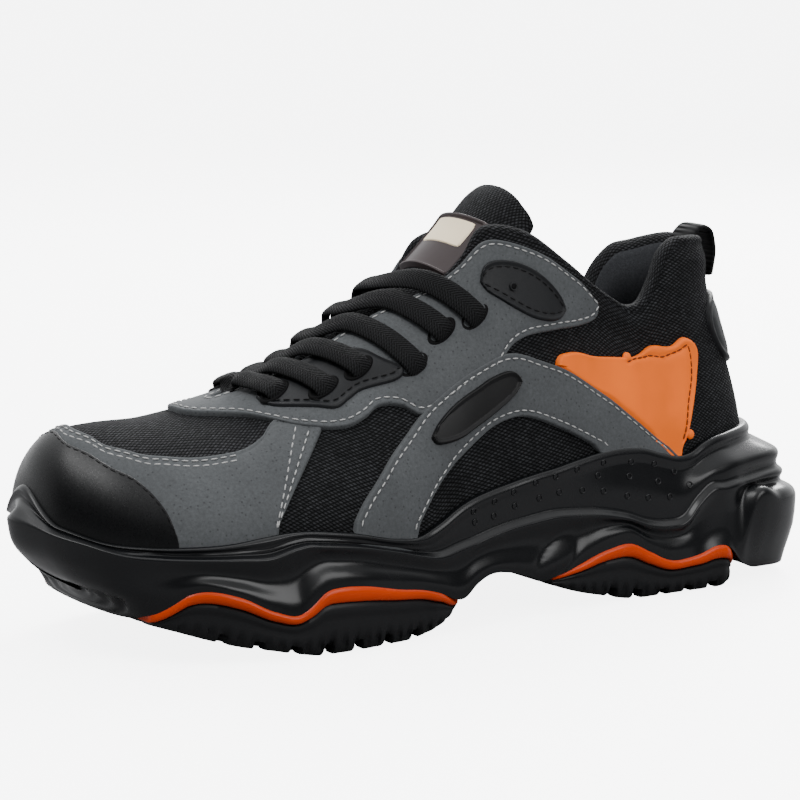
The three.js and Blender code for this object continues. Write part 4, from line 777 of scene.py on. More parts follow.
def tongue_label():
    us = np.linspace(LABEL_FROM, LABEL_TO, 60)
    run = run_of(on_tongue(us, 0, 0))
    half_x = run[-1] / 2
    side_band = LABEL_HALF - 4
    rim = np.linspace(side_band, LABEL_HALF, 14)
    ys = np.concatenate([-rim[::-1], np.linspace(-side_band, side_band, 20)[1:-1], rim])
    X, Y = np.meshgrid(run - half_x, ys, indexing="ij")
    d = rounded_distance(X, Y, half_x, LABEL_HALF, 2.2)
    h = 0.2 + 2.2 * np.sqrt(np.clip(1 - (1 - np.clip(d / 0.7, 0, 1)) ** 2, 0, 1)) - 0.7 * ramp(d, 1.3, 1.7)
    h = np.where(d < 0, -0.5, h)
    points = on_tongue(us[:, None], ys[None, :], h)
    obj = lay_sheet("label", points, np.stack([X, Y], -1), on_tongue(8, 0, 1) - on_tongue(8, 0, 0))
    add_wall(obj, 0.4)
    shade(obj, 40)
    dress(obj, "label", label_rubber, "tongue_label")
    # bare plate set in the upper part of the label
    up = np.linspace(7.75, 8.62, 30)
    run = run_of(on_tongue(up, 0, 0))
    ys = np.linspace(-12.5, 12.5, 40)
    X, Y = np.meshgrid(run - run[-1] / 2, ys, indexing="ij")
    d = rounded_distance(X, Y, run[-1] / 2, 12.5, 1.4)
    h = np.where(d < 0, 0.8, 1.5 + 0.55 * np.clip(d / 0.35, 0, 1))
    plate = lay_sheet("label_plate", on_tongue(up[:, None], ys[None, :], h), np.stack([X, Y], -1),
                      on_tongue(8, 0, 1) - on_tongue(8, 0, 0))
    add_wall(plate, 0.3)
    shade(plate, 40)
    dress(plate, "label", cream)


def footbed():
    a = np.linspace(0, 1, 130)
    outer = np.stack([on_upper(a, 0, -WALL - 0.5), on_upper(2 - a, 0, -WALL - 0.5)])
    rise = np.array([0, 0.004, 0.012, 0.03, 0.06])
    k = np.concatenate([rise, np.linspace(0.1, 0.9, 25), (1 - rise)[::-1]])
    points = outer[0][:, None] * (1 - k)[None, :, None] + outer[1][:, None] * k[None, :, None]
    inside = np.minimum(k, 1 - k)
    points[..., 2] += 5.2 * np.sqrt(np.clip(1 - (1 - np.clip(inside / 0.05, 0, 1)) ** 2, 0, 1))[None]
    points[..., 2] += (1.6 * (1 - ramp(inside, 0.02, 0.35)))[None] * (1 - ramp(a, 0.25, 0.6))[:, None]
    top = lay_sheet("footbed", points, points[..., :2], np.array([0, 0, 1.0]))
    add_wall(top, 2)
    weld(top)
    shade(top, 40)
    dress(top, "insole", lining_cloth, "insole")


def strap(points, ups, wide, thick, power=0.75, segments=18, ends=True):
    """Sections of a flat woven cord laid along points, its face turned to ups."""
    run = unit(np.gradient(points, axis=0))
    across = unit(np.cross(run, ups))
    face = np.cross(across, run)
    turn = np.linspace(0, 2 * math.pi, segments + 1)
    cx = np.sign(np.cos(turn)) * np.abs(np.cos(turn)) ** power * wide / 2
    cz = np.sign(np.sin(turn)) * np.abs(np.sin(turn)) ** 0.9 * thick / 2
    size = np.ones(len(points))
    if ends:
        size[[0, -1]], size[[1, -2]], size[[2, -3]] = 0.02, 0.75, 0.95
    section = across[:, None] * cx[None, :, None] + face[:, None] * cz[None, :, None]
    grid = points[:, None] + section * size[:, None, None]
    d = run_of(points)
    around = np.where(cz >= 0, cx, np.sign(cx) * (wide - np.abs(cx)))
    uv = np.stack([np.repeat(around[None], len(points), 0), np.repeat(d[:, None], len(around), 1)], -1)
    return grid, uv


def through(knots, count):
    """Smooth line through knots, spaced by their distances."""
    d = run_of(np.asarray(knots)) ** 1.0
    at = np.linspace(0, d[-1], count)
    return np.stack([Smooth(d, np.asarray(knots)[:, k])(at) for k in range(3)], -1)


def pull_loop():
    edge = skin(0.0, 1.0)
    clear = 1.3
    knots = [on_upper(0.0, 0.92, -wall_at(0.0, 0.92) - clear)]
    knots += [edge + np.array([behind, 0, above]) for behind, above in LOOP_ARCH]
    knots += [on_upper(0.0, 0.86, clear + 0.9)]
    line = through(knots, 90)
    run = unit(np.gradient(line, axis=0))
    out = np.cross(np.array([0, 1.0, 0]), run)
    grid, uv = strap(line, out, 13, 2.0, power=0.35, segments=30)
    obj = lay_sheet("heel_loop", grid, uv)
    weld(obj)
    face_out(obj)
    shade(obj, 50)
    dress(obj, "webbing", webbing, "pull_loop")


# Laces
def lace_strand(name, knots, ups, node=None):
    line = through(knots, 90)
    d = run_of(np.asarray(knots))
    at = np.linspace(0, d[-1], 90)
    up = unit(np.stack([np.interp(at, d, np.asarray(ups)[:, k]) for k in range(3)], -1))
    grid, uv = strap(line, up, LACE_WIDE, LACE_THICK)
    obj = lay_sheet(name, grid, uv)
    weld(obj)
    face_out(obj)
    shade(obj, 60)
    dress(obj, "webbing", lace, *([node] if node else []))


def half_lace(i, side):
    """From the slot over the flap's edge: places and facings."""
    a, w, over = SLOTS[i]
    rest = SUEDE + 0.5 + LACE_THICK / 2 + 0.1 + (PATCH if i < 3 else 0)
    places, ups = [], []
    for k, h in ((-0.13, -2.2), (0.0, 0.3), (0.22, 0.6), (0.6, 0.35), (1.0, 0.3)):
        at = a + (over - a) * k
        at = at if side > 0 else 2 - at
        wk = min(w + (1 - w) * k, 1)
        places.append(on_panel(at, wk, rest + h))
        ups.append(panel_normal(at, min(wk, 0.98)))
    return places, ups


def lace_up():
    bridge = unit(np.array([-0.48, 0, 0.877]))
    for i, (t, z) in enumerate(CREST):
        for side in (1, -1):
            if i == 0 and side < 0:
                continue
            places, ups = half_lace(i, side)
            lift = 1.25 if side > 0 else -1.25
            crest = np.array([50 * L - t * L, 0, z * U - LACE_THICK / 2 - 0.6 + (0 if i == 0 else lift)])
            places.append(crest)
            ups.append(bridge)
            if i and side > 0:
                places.append(crest + np.array([-1.6, 6.5, -1.6]))
                ups.append(unit(bridge + np.array([0, 0.35, 0])))
            if i == 0:
                back, back_ups = half_lace(0, -1)
                places += back[::-1]
                ups += back_ups[::-1]
            else:
                a, w, over = SLOTS[i - 1]
                for k, h in ((1.0, -WALL - 1.6), (0.72, -WALL - 2.0), (0.5, -WALL - 1.8)):
                    at = a + (over - a) * k
                    at = 2 - at if side > 0 else at
                    wk = w + (1 - w) * k
                    places.append(on_panel(at, wk, h))
                    ups.append(panel_normal(at, min(wk, 0.98)))
            name = f"lace_{i + 1}" + ("" if side > 0 else "_under")
            lace_strand(name, places, ups, f"lace_row_{i + 1}" if side > 0 else None)


def slot_rims():
    """Dark slots punched at the foot of each lace, with a pressed rim: the hole is a flat near-black disc
    over the suede, painted shade, and the rim takes the same black.
    """
    for side, word in ((1, "outer"), (-1, "inner")):
        parts = []
        for i, (a, w, over) in enumerate(SLOTS):
            base = SUEDE + 0.5 + (PATCH if i < 3 else 0) + 0.12
            at = a if side > 0 else 2 - a
            one, two = on_panel(at, w, 0), on_panel(at + side * (over - a) * 0.3, w + (1 - w) * 0.3, 0)
            n = panel_normal(at, w)
            along_lace = unit(two - one)
            across = np.cross(n, along_lace)
            r = np.array([0, 0.35, 0.7, 0.86, 0.94, 1.0, 1.08, 1.16, 1.22])
            h = np.array([-0.05, -0.05, -0.03, 0.05, 0.25, 0.34, 0.28, 0.1, -0.35])
            turn = np.linspace(0, 2 * math.pi, 33)
            ring = across * np.cos(turn)[:, None] * 5.6 + along_lace * np.sin(turn)[:, None] * 2.9
            middle = one + n * base + along_lace * 0.2
            grid = middle + ring[:, None] * r[None, :, None] + n * h[None, :, None]
            parts.append(lay_sheet("slot", grid, None, n))
        obj = join(f"lace_slots_{word}", *parts)
        weld(obj, 0.01)
        shade(obj, 50)
        # the slot's near-black disc is painted shade for the punched hole
        dress(obj, "smooth_black", slot_black_and_shade)


# Moulded midsole
def on_outline(a, depth, z):
    ox, oy = outwards(outline_t, outline_y, a)
    z = z + np.zeros_like(ox)
    return np.stack([50 * L - outline_t(a) * L - ox * depth, outline_y(a) * W - oy * depth, z], -1)


def edge_height(t):
    """The side's lower edge, which comes down a little over the inlay's front end."""
    return (level["edge"](t) - np.interp(t, *TOE_DOWN)) * S


def midsole_columns(a):
    """The side's edges from the inlay up over the lip and down into the cup, for every station."""
    t = np.clip(outline_t(a), 0, 100)
    z = {n: level[n](t) * S for n in level}
    z["edge"] = edge_height(t)
    rim = crossing(a, rim_height)
    z["rim"] = np.maximum(skin(a, rim)[:, 2], z["step"] + 1)
    span = z["rim"] - z["step"]
    ledge = z["step"] + np.minimum(2.2, 0.2 * span)
    low, bead = z["rim"] - np.minimum(4.95, 0.5 * span), z["rim"] - np.minimum(1.98, 0.22 * span)

    def at(name, height):
        return on_outline(a, inset[name](t) * W, height)

    def hug(down, h):
        return on_upper(a, crossing(a, lambda b, x: rim_height(b, x) - down), GAP + h)

    floor = on_upper(a, 0, CUP_GAP)
    floor[:, 2] -= CUP_FLOOR_GAP
    keys = [*[at(name, z[name]) for name in ("edge", "flare", "hollow", "step")],
            at("ledge", ledge), at("wall", (ledge + low) / 2), hug(z["rim"] - low, GROOVE_OUT),
            hug(z["rim"] - bead, BEAD_OUT), hug(0, LIP_OUT), on_upper(a, rim, GAP - 0.5),
            on_upper(a, rim * 0.5, CUP_GAP), floor]
    return np.stack(keys, 1)


CUTS = (0, 2.2, 3.4, 1.1, 1.0, 3.0, 0.9, 1.3, 0.8, 0.4, 0.4, 0)  # how far each edge is rounded
HEEL_CUTS = (0, 5, 1.5, 2, 2, 0, 1, 1.2, 0.6, 0, 0, 0)  # more of it round the heel
TOE_CUTS = (0, 3, 3, 3.5, 3, 0, 1.5, 1, 0.6, 0, 0, 0)  # and round the toe


def rounded_columns(keys, t):
    lines = [keys[:, :1]]
    heel, toe = 1 - ramp(t, 9, 14), ramp(t, 95, 98.5)
    for k in range(1, keys.shape[1] - 1):
        p, q, r = keys[:, k - 1], keys[:, k], keys[:, k + 1]
        back, on = np.linalg.norm(p - q, axis=1), np.linalg.norm(r - q, axis=1)
        wanted = CUTS[k] + HEEL_CUTS[k] * heel + TOE_CUTS[k] * toe
        cut = np.minimum(wanted, 0.47 * np.minimum(back, on))[:, None]
        one, two = q + unit(p - q) * cut, q + unit(r - q) * cut
        for s in (0, 0.2, 0.4, 0.6, 0.8, 1):
            lines.append(((1 - s) ** 2 * one + 2 * s * (1 - s) * q + s * s * two)[:, None])
    lines.append(keys[:, -1:])
    line = np.concatenate(lines, 1)
    # extra rows in the long plain stretches, so that relief has points to stand on
    out = [line[:, :1]]
    for k in range(line.shape[1] - 1):
        gap = np.linalg.norm(line[:, k + 1] - line[:, k], axis=1).mean()
        parts = max(int(round(gap / 1.1)), 1) if k < 46 else 1
        for s in range(1, parts + 1):
            out.append(line[:, k:k + 1] * (1 - s / parts) + line[:, k + 1:k + 2] * (s / parts))
    return np.concatenate(out, 1)


def sole_relief(a, grid, keys):
    """Moulded relief on the midsole's side, in mm out of its face."""
    x, z = grid[..., 0], grid[..., 2]
    t = np.clip(outline_t(a), 0, 100)[:, None]
    low, flare = keys[:, 0, 2][:, None], keys[:, 1, 2][:, None]
    up = np.clip((z - low) / (flare - low), -1, 2)
    m = towards_toe(a)[:, None]
    h = np.zeros_like(x)
    for at, deep in FLUTES:
        h = h - deep * bell(m, at, 0.006) * ramp(up, -0.1, 0.15) * (1 - ramp(up, 0.35, 0.75))
    h = h + 1.6 * bell(up, 0.55, 0.35) * (1 - ramp(t, 9, 12))  # the heel bumper is full
    # an almond leaf in the arch
    along, across = (x - 33.5) * 0.78 + (z - 20) * 0.62, (z - 20) * 0.78 - (x - 33.5) * 0.62
    leaf = np.sqrt((along / 12) ** 2 + (across / 5.4) ** 2)
    return h - 0.5 * bell(leaf, 1, 0.22) + 0.3 * (1 - ramp(leaf, 0.1, 0.9))


DOTS = (
    (-3, 41), (6.9, 43), (15.3, 45), (24.9, 47.2), (33.8, 48.4), (43.4, 49.6), (55.9, 50.6), (68.5, 49.6),
    (79.2, 47.5), (88, 43.8), (93.4, 39), (-1.8, 36.8), (6.8, 37.8), (53.5, 46.4), (67.2, 44.7),
    (79.9, 41.5), (16.3, 40.1), (27, 41.2), (35.9, 42.6), (46.3, 42.2), (55.4, 40.8), (65.3, 37.6),
    (74.6, 36.2), (84.5, 35.4),
)


def moulded_dots(grid, normal, half):
    """Small raised rings in rows on the rear half of the side."""
    ring = ring_form(1.05, 0.3)
    for side, word in ((1, "outer"), (-1, "inner")):
        part = slice(0, half) if side > 0 else slice(half, None)
        points, normals = grid[part].reshape(-1, 3), normal[part].reshape(-1, 3)
        spots, axes = [], []
        for x, z in DOTS:
            wrong_side = np.where(normals[:, 1] * side < 0, 0, 1e6)
            near = np.argsort((points[:, 0] - x) ** 2 + (points[:, 2] - z) ** 2 + wrong_side)[:4]
            n = unit(normals[near].mean(0))
            spots.append(points[near].mean(0) + n * 0.05)
            axes.append(level_axes(n))
        dress(set_many(f"midsole_rings_{word}", ring, spots, axes), "midsole", moulded)


def moulded_midsole():
    a = np.linspace(0, 2, 721)
    a[-1] = 2
    keys = midsole_columns(np.where(a >= 2, 0, a))
    grid = rounded_columns(keys, np.clip(outline_t(a), 0, 100))
    normal = unit(np.cross(np.gradient(grid, axis=0), np.gradient(grid, axis=1)))
    i = 200
    if normal[i, 8, 1] > 0:
        normal = -normal
    grid = grid + normal * sole_relief(a, grid, keys)[..., None]
    moulded_dots(grid, normal, len(a) // 2)
    uv = loop_uv(grid)
    outer = lay_sheet("midsole_moulded", grid, uv, normal[len(a) // 2, grid.shape[1] // 2])
    half = len(a) // 2
    k = np.linspace(0, 1, 15)
    near, far = (1 - k)[None, :, None], k[None, :, None]
    under, cup = [grid[:half + 1, j][:, None] * near + grid[half:, j][::-1][:, None] * far for j in (0, -1)]
    front_t = np.clip(outline_t(a[:half + 1]), 0, 100)
    front = ramp(front_t, 88.4, 90.8) * (1 - ramp(front_t, 96.5, 100))
    sag = 0.8 - 3.6 * front  # the sole hangs full in front of the tread
    under[..., 2] += sag[:, None] * (np.clip(1 - (2 * k - 1) ** 2, 0, 1) ** 0.4)[None]
    bottom = lay_sheet("under", under, under[..., :2], np.array([0, 0, -1.0]))
    floor = lay_sheet("floor", cup, cup[..., :2], np.array([0, 0, 1.0]))
    obj = join("midsole_moulded", outer, bottom, floor)
    weld(obj, 0.02)
    shade(obj, 45)
    dress(obj, "midsole", moulded, "midsole")


# Inlays and treads
def stations_of(t):
    table = np.linspace(0, 1, 4001)
    return np.interp(t, outline_t(table), table)


def lower_edges(t):
    a = stations_of(t)
    return [on_outline(b, inset["edge"](t) * W, level["edge"](t) * S) for b in (a, 2 - a)]


def tread_rows(rows, t):
    ts = [r[0] for r in rows]
    return [Smooth(ts, [r[k] for r in rows])(t) for k in (1, 2, 3)]


def tread_section(t, fit, depths, heights):
    """Loop of points round a tread: depth from the edges and height, both sides."""
    outer, inner = lower_edges(t)
    width = np.linalg.norm(outer - inner, axis=1)
    u = np.clip((1 - fit)[:, None] / 2 + depths / width[:, None], -0.05, 0.48)
    near = outer[:, None] * (1 - u)[..., None] + inner[:, None] * u[..., None]
    far = inner[:, None] * (1 - u)[..., None] + outer[:, None] * u[..., None]
    near[..., 2] = far[..., 2] = heights
    return near, far


def round_end(t, first, last, reach_t):
    d = np.minimum(t - first, last - t) / reach_t
    return np.sqrt(np.clip(1 - (1 - np.clip(d, 0, 1)) ** 2, 0, 1))


def inlay_piece(name, rows, node, end=None):
    first, last = rows[0][0], end or rows[-1][0]
    t = np.linspace(first, last, steps((last - first) * L, 0.9))
    thick, _, fit = tread_rows(rows, t)
    top = edge_height(t) + 0.25
    join_z = top - thick * S * 0.98 - 0.25
    turn = np.linspace(0, math.pi, 11)
    fullness = 0.3 + 0.7 * round_end(t, first, last, 0.8)
    depth = 0.7 - 1.5 * np.sin(turn)[None] * fullness[:, None]
    z = (top + join_z)[:, None] / 2 + (top - join_z)[:, None] / 2 * np.cos(turn)[None]
    near, far = tread_section(t, fit, depth, z)
    loop = np.concatenate([near, far[:, ::-1], near[:, :1]], 1)
    obj = lay_sheet(name, loop, loop_uv(loop))
    only(obj)
    weld(obj)
    close_ends(obj)
    face_out(obj)
    shade(obj, 50)
    dress(obj, "inlay", inlay_gloss, node)


def close_ends(obj):
    """Fills the open loops at a body's two ends."""
    only(obj)
    bpy.ops.object.mode_set(mode="EDIT")
    bpy.ops.mesh.select_all(action="DESELECT")
    bpy.ops.mesh.select_mode(type="EDGE")
    bpy.ops.mesh.select_non_manifold()
    bpy.ops.mesh.fill_holes(sides=0)
    bpy.ops.mesh.select_mode(type="VERT")
    bpy.ops.object.mode_set(mode="OBJECT")


RIB_PITCH, LUG_PITCH = 4.6, 10.5


def tread_piece(name, rows, lugs_from, lugs_to, node, end=None):
    first, last = rows[0][0], end or rows[-1][0]
    count = int((lugs_to - lugs_from) * L / LUG_PITCH)
    middles = lugs_from + (lugs_to - lugs_from) * np.arange(count + 1) / count
    t = np.linspace(first, last, steps((last - first) * L, 0.55))
    thick, floor_z, fit = tread_rows(rows, t)
    top = edge_height(t) - thick * S - 0.1
    low = np.maximum(floor_z * S, 0)
    low = np.where(t > 84, low, np.minimum(low, top - 0.8))
    top = np.maximum(top, low + 0.8)
    near_groove = np.abs(t[:, None] - middles[None]).min(1) * L
    groove = 1 - ramp(near_groove, 1.3, 2.1)
    depth = np.minimum(3.0, np.maximum(top - low - 1.5, 0))
    # side: under the inlay, a small ledge, the wall, the rounded shoulder, then the face
    body = top - low
    # fine ribs round the foot of the wall
    small = 0.5 + 0.5 * np.cos(2 * math.pi * (t - first) * L / RIB_PITCH)
    wall = np.array([0, 0.06, 0.14, 0.2, 0.26, 0.34, 0.44, 0.54, 0.64, 0.74, 0.82, 0.88, 0.93, 0.97, 1.0])
    out = np.array([1.3, 0.5, 0.35, 0.5, 0.95, 1.0, 0.85, 0.8, 0.85, 1.0, 1.3, 1.7, 2.3, 3.0, 3.9])
    d = out[None] + np.zeros_like(t)[:, None]
    d = d + (1.1 * (1 - ramp(small, 0.25, 0.6)))[:, None] * bell(wall, 0.8, 0.14)[None]
    z = top[:, None] - body[:, None] * wall[None]
    z = z + (groove * depth)[:, None] * ramp(wall, 0.72, 1)[None]
    d = d + (groove * 0.8)[:, None] * bell(wall, 0.88, 0.2)[None]
    face_d = np.array([5, 6.5, 8, 9.2, 9.9, 10.6, 12, 14, 17, 20, 24, 30])
    face_z = (low + groove * depth)[:, None] + 1.6 * bell(face_d, 9.6, 0.9)[None] * (1 - groove)[:, None]
    d = np.concatenate([d, face_d[None] + np.zeros_like(t)[:, None]], 1)
    z = np.concatenate([z, face_z], 1)
    near, far = tread_section(t, fit, d, z)
    loop = np.concatenate([near, far[:, ::-1], near[:, :1]], 1)
    obj = lay_sheet(name, loop, loop_uv(loop))
    weld(obj, 0.01)
    close_ends(obj)
    face_out(obj)
    shade(obj, 38)
    dress(obj, "outsole", tread_rubber, node)


# Finishes
class Bench:
    """Short calls for laying out the nodes of one tree."""

    def __init__(self, tree):
        self.tree, self.nodes, self.links = tree, tree.nodes, tree.links

    def put(self, kind, values=None, **props):
        node = self.nodes.new(kind)
        for key, value in props.items():
            setattr(node, key, value)
        for key, value in (values or {}).items():
            self.feed(node.inputs[key], value)
        return node

    def feed(self, socket, value):
        if isinstance(value, bpy.types.NodeSocket):
            self.links.new(value, socket)
        elif isinstance(value, (tuple, list)) and socket.type == "RGBA" and len(value) == 3:
            socket.default_value = (*value, 1)
        else:
            socket.default_value = value

    def math(self, operation, *values, clamp=False):
        node = self.put("ShaderNodeMath", operation=operation, use_clamp=clamp)
        for i, value in enumerate(values):
            self.feed(node.inputs[i], value)
        return node.outputs[0]

    def noise(self, vector, scale, detail=3.0, rough=0.5):
        return self.put("ShaderNodeTexNoise", {"Vector": vector, "Scale": scale, "Detail": detail,
                                               "Roughness": rough}).outputs["Fac"]

    def spread(self, value, a, b, c=0.0, d=1.0):
        node = self.put("ShaderNodeMapRange", {"Value": value, "From Min": a, "From Max": b,
                                               "To Min": c, "To Max": d})
        return node.outputs[0]

    def blend(self, share, one, two, mode="MIX"):
        node = self.put("ShaderNodeMix", data_type="RGBA", blend_type=mode)
        for socket, value in ((node.inputs[0], share), (node.inputs[6], one), (node.inputs[7], two)):
            self.feed(socket, value)
        return node.outputs[2]

    def place(self):
        return self.put("ShaderNodeTexCoord").outputs["Object"]

    def uv(self):
        return self.put("ShaderNodeTexCoord").outputs["UV"]


def effect(name, inputs, outputs, build):
    """An effect shared by several finishes: a node group of colours, masks and heights."""
    tree = bpy.data.node_groups.new(name, "ShaderNodeTree")
    for label, kind, value in inputs:
        socket = tree.interface.new_socket(label, in_out="INPUT", socket_type=kind)
        if value is not None:
            socket.default_value = value
    for label, kind in outputs:
        tree.interface.new_socket(label, in_out="OUTPUT", socket_type=kind)
    bench = Bench(tree)
    given = bench.put("NodeGroupInput").outputs
    result = bench.put("NodeGroupOutput")
    for label, socket in build(bench, given).items():
        bench.feed(result.inputs[label], socket)
    return tree


FLOAT, VECTOR = "NodeSocketFloat", "NodeSocketVector"


def build_grain(b, given):
    coarse = b.noise(given["Place"], given["Scale"], 2, 0.6)
    finer = b.math("MULTIPLY", given["Scale"], 2.2)
    fine = b.put("ShaderNodeTexVoronoi", {"Vector": given["Place"], "Scale": finer},
                 feature="DISTANCE_TO_EDGE").outputs["Distance"]
    pebble = b.spread(fine, 0.0, 0.25)
    height = b.math("ADD", b.math("MULTIPLY", coarse, 0.5), b.math("MULTIPLY", pebble, 0.5))
    return {"Height": height, "Mask": coarse}


def build_knit(b, given):
    """Rows of slanted stitches, in mm on the cloth: half a pitch shifted from row to row."""
    parts = b.put("ShaderNodeSeparateXYZ", {"Vector": given["Cloth"]}).outputs
    turn = given["Turn"]
    cs, sn = b.math("COSINE", turn), b.math("SINE", turn)
    x = b.math("ADD", b.math("MULTIPLY", parts[0], cs), b.math("MULTIPLY", parts[1], sn))
    y = b.math("SUBTRACT", b.math("MULTIPLY", parts[1], cs), b.math("MULTIPLY", parts[0], sn))
    row = b.math("DIVIDE", y, given["Row"])
    index = b.math("FLOOR", row)
    shift = b.math("MULTIPLY", b.math("MODULO", b.math("ABSOLUTE", index), 2.0), 0.5)
    col = b.math("ADD", b.math("DIVIDE", x, given["Stitch"]), shift)
    inside_row = b.math("SUBTRACT", row, index)
    slanted = b.math("ADD", col, b.math("MULTIPLY", inside_row, 0.55))
    cell = b.math("SUBTRACT", slanted, b.math("FLOOR", slanted))
    across = b.math("SINE", b.math("MULTIPLY", inside_row, math.pi))
    upon = b.math("SINE", b.math("MULTIPLY", cell, math.pi))
    height = b.math("MULTIPLY", b.math("POWER", across, 0.7), b.math("POWER", upon, 0.6))
    pick = b.put("ShaderNodeTexWhiteNoise", {"Vector": b.put("ShaderNodeCombineXYZ", {
        "X": b.math("FLOOR", slanted), "Y": index}).outputs[0]}, noise_dimensions="2D").outputs["Value"]
    # pale yarn flecks, strongest on each stitch's crown: partly the yarn's own flecks and partly painted
    # highlight
    fleck_and_highlight = b.math("MULTIPLY", b.spread(pick, 0.0, 1.0, 0.35, 1.0), b.math("POWER", height, 2.2))
    return {"Height": height, "Fleck": fleck_and_highlight}


def build_braid(b, given):
    """Herringbone of a flat braid: ribs that slant out from its middle line."""
    parts = b.put("ShaderNodeSeparateXYZ", {"Vector": given["Cord"]}).outputs
    slant = b.math("ADD", parts[1], b.math("MULTIPLY", b.math("ABSOLUTE", parts[0]), given["Slant"]))
    wave = b.math("SINE", b.math("MULTIPLY", slant, b.math("DIVIDE", 2 * math.pi, given["Pitch"])))
    strands = b.math("SINE", b.math("MULTIPLY", parts[0], b.math("DIVIDE", 2 * math.pi, given["Strand"])))
    crossed = b.math("MULTIPLY", b.math("MULTIPLY", wave, strands), 0.35)
    return {"Height": b.math("ADD", b.math("ADD", b.math("MULTIPLY", wave, 0.5), crossed), 0.5)}


def build_drift(b, given):
    low = b.noise(given["Place"], given["Scale"], 2, 0.5)
    darker, lighter = b.math("SUBTRACT", 1.0, given["Amount"]), b.math("ADD", 1.0, given["Amount"])
    return {"Tone": b.spread(low, 0.3, 0.7, darker, lighter)}


def build_pores(b, given):
    """Sparse dark pin pricks and the mottled nap of brushed leather."""
    dots = b.put("ShaderNodeTexVoronoi", {"Vector": given["Place"], "Scale": given["Scale"],
                                          "Randomness": 0.9}).outputs["Distance"]
    nap = b.noise(given["Place"], b.math("MULTIPLY", given["Scale"], 1.9), 3, 0.7)
    return {"Pore": b.spread(dots, 0.1, 0.22, 1.0, 0.0), "Nap": nap}


GRAIN = effect("leather_grain", [("Place", VECTOR, None), ("Scale", FLOAT, 900.0)],
               [("Height", FLOAT), ("Mask", FLOAT)], build_grain)
KNIT = effect("knit_rows", [("Cloth", VECTOR, None), ("Row", FLOAT, 1.3), ("Stitch", FLOAT, 1.5),
                            ("Turn", FLOAT, 0.4)], [("Height", FLOAT), ("Fleck", FLOAT)], build_knit)
BRAID = effect("flat_braid", [("Cord", VECTOR, None), ("Pitch", FLOAT, 1.6), ("Strand", FLOAT, 1.4),
                              ("Slant", FLOAT, 0.8)], [("Height", FLOAT)], build_braid)
DRIFT = effect("colour_drift", [("Place", VECTOR, None), ("Scale", FLOAT, 40.0), ("Amount", FLOAT, 0.1)],
               [("Tone", FLOAT)], build_drift)
PORES = effect("nap_and_pores", [("Place", VECTOR, None), ("Scale", FLOAT, 450.0)],
               [("Pore", FLOAT), ("Nap", FLOAT)], build_pores)


def finish(name, lay, **shader):
    """A material: lay(bench, shader node) feeds colour, roughness and bump."""
    material = bpy.data.materials.new(name)
    material.use_nodes = True
    tree = material.node_tree
    tree.nodes.clear()
    bench = Bench(tree)
    out = bench.put("ShaderNodeOutputMaterial")
    face = bench.put("ShaderNodeBsdfPrincipled")
    tree.links.new(face.outputs[0], out.inputs[0])
    for key, value in shader.items():
        bench.feed(face.inputs[key.replace("_", " ")], value)
    lay(bench, face)
    return material


def use(b, group, **values):
    node = b.put("ShaderNodeGroup")
    node.node_tree = group
    for key, value in values.items():
        b.feed(node.inputs[key], value)
    return node.outputs


def bump(b, face, height, strength, distance):
    node = b.put("ShaderNodeBump", {"Height": height, "Strength": strength, "Distance": distance * MM})
    b.feed(face.inputs["Normal"], node.outputs[0])


def knit_finish(name, base, light, row, stitch, turn, depth):
    def lay(b, face):
        k = use(b, KNIT, Cloth=b.uv(), Row=row, Stitch=stitch, Turn=turn)
        drift = use(b, DRIFT, Place=b.place(), Scale=60.0, Amount=0.2)["Tone"]
        # painted shade: the pits between the stitches are darkened to about a third of the base colour
        hollow = b.blend(b.spread(k["Height"], 0.1, 0.8), tuple(0.35 * c for c in base), base)
        # lays the pale flecks and the painted highlight onto the stitch crowns
        lit = b.blend(b.math("MULTIPLY", k["Fleck"], 0.75), hollow, light)
        b.feed(face.inputs["Base Color"], b.blend(1.0, lit, b.put("ShaderNodeCombineColor", {
            "Red": drift, "Green": drift, "Blue": drift}).outputs[0], "MULTIPLY"))
        bump(b, face, k["Height"], 0.9, depth)
    return finish(name, lay, Roughness=0.82, Specular_IOR_Level=0.12)


def tinted(b, face, colour, tone):
    grey = b.put("ShaderNodeCombineColor", {"Red": tone, "Green": tone, "Blue": tone}).outputs[0]
    b.feed(face.inputs["Base Color"], b.blend(1.0, colour, grey, "MULTIPLY"))


def suede_lay(b, face):
    p = use(b, PORES, Place=b.place(), Scale=480.0)
    drift = use(b, DRIFT, Place=b.place(), Scale=45.0, Amount=0.10)["Tone"]
    nap = b.spread(p["Nap"], 0.25, 0.75, 0.78, 1.2)
    tone = b.math("MULTIPLY", b.math("MULTIPLY", drift, nap), b.spread(p["Pore"], 0, 1, 1.0, 0.62))
    tinted(b, face, (0.074, 0.0785, 0.082), tone)
    bump(b, face, b.math("SUBTRACT", p["Nap"], b.math("MULTIPLY", p["Pore"], 0.6)), 0.35, 0.12)


def smooth_leather(colour, scale, depth, low, high):
    def lay(b, face):
        g = use(b, GRAIN, Place=b.place(), Scale=scale)
        drift = use(b, DRIFT, Place=b.place(), Scale=50.0, Amount=0.12)["Tone"]
        tinted(b, face, colour, drift)
        b.feed(face.inputs["Roughness"], b.spread(g["Mask"], 0.3, 0.7, low, high))
        bump(b, face, g["Height"], 0.5, depth)
    return lay


def rubber(colour, low, high, scale=700.0, depth=0.03):
    def lay(b, face):
        n = b.noise(b.place(), scale, 3, 0.6)
        cloud = b.noise(b.place(), 38.0, 3, 0.55)
        drift = use(b, DRIFT, Place=b.place(), Scale=30.0, Amount=0.08)["Tone"]
        tinted(b, face, colour, drift)
        b.feed(face.inputs["Roughness"], b.spread(cloud, 0.3, 0.7, low, high))
        bump(b, face, n, 0.35, depth)
    return lay


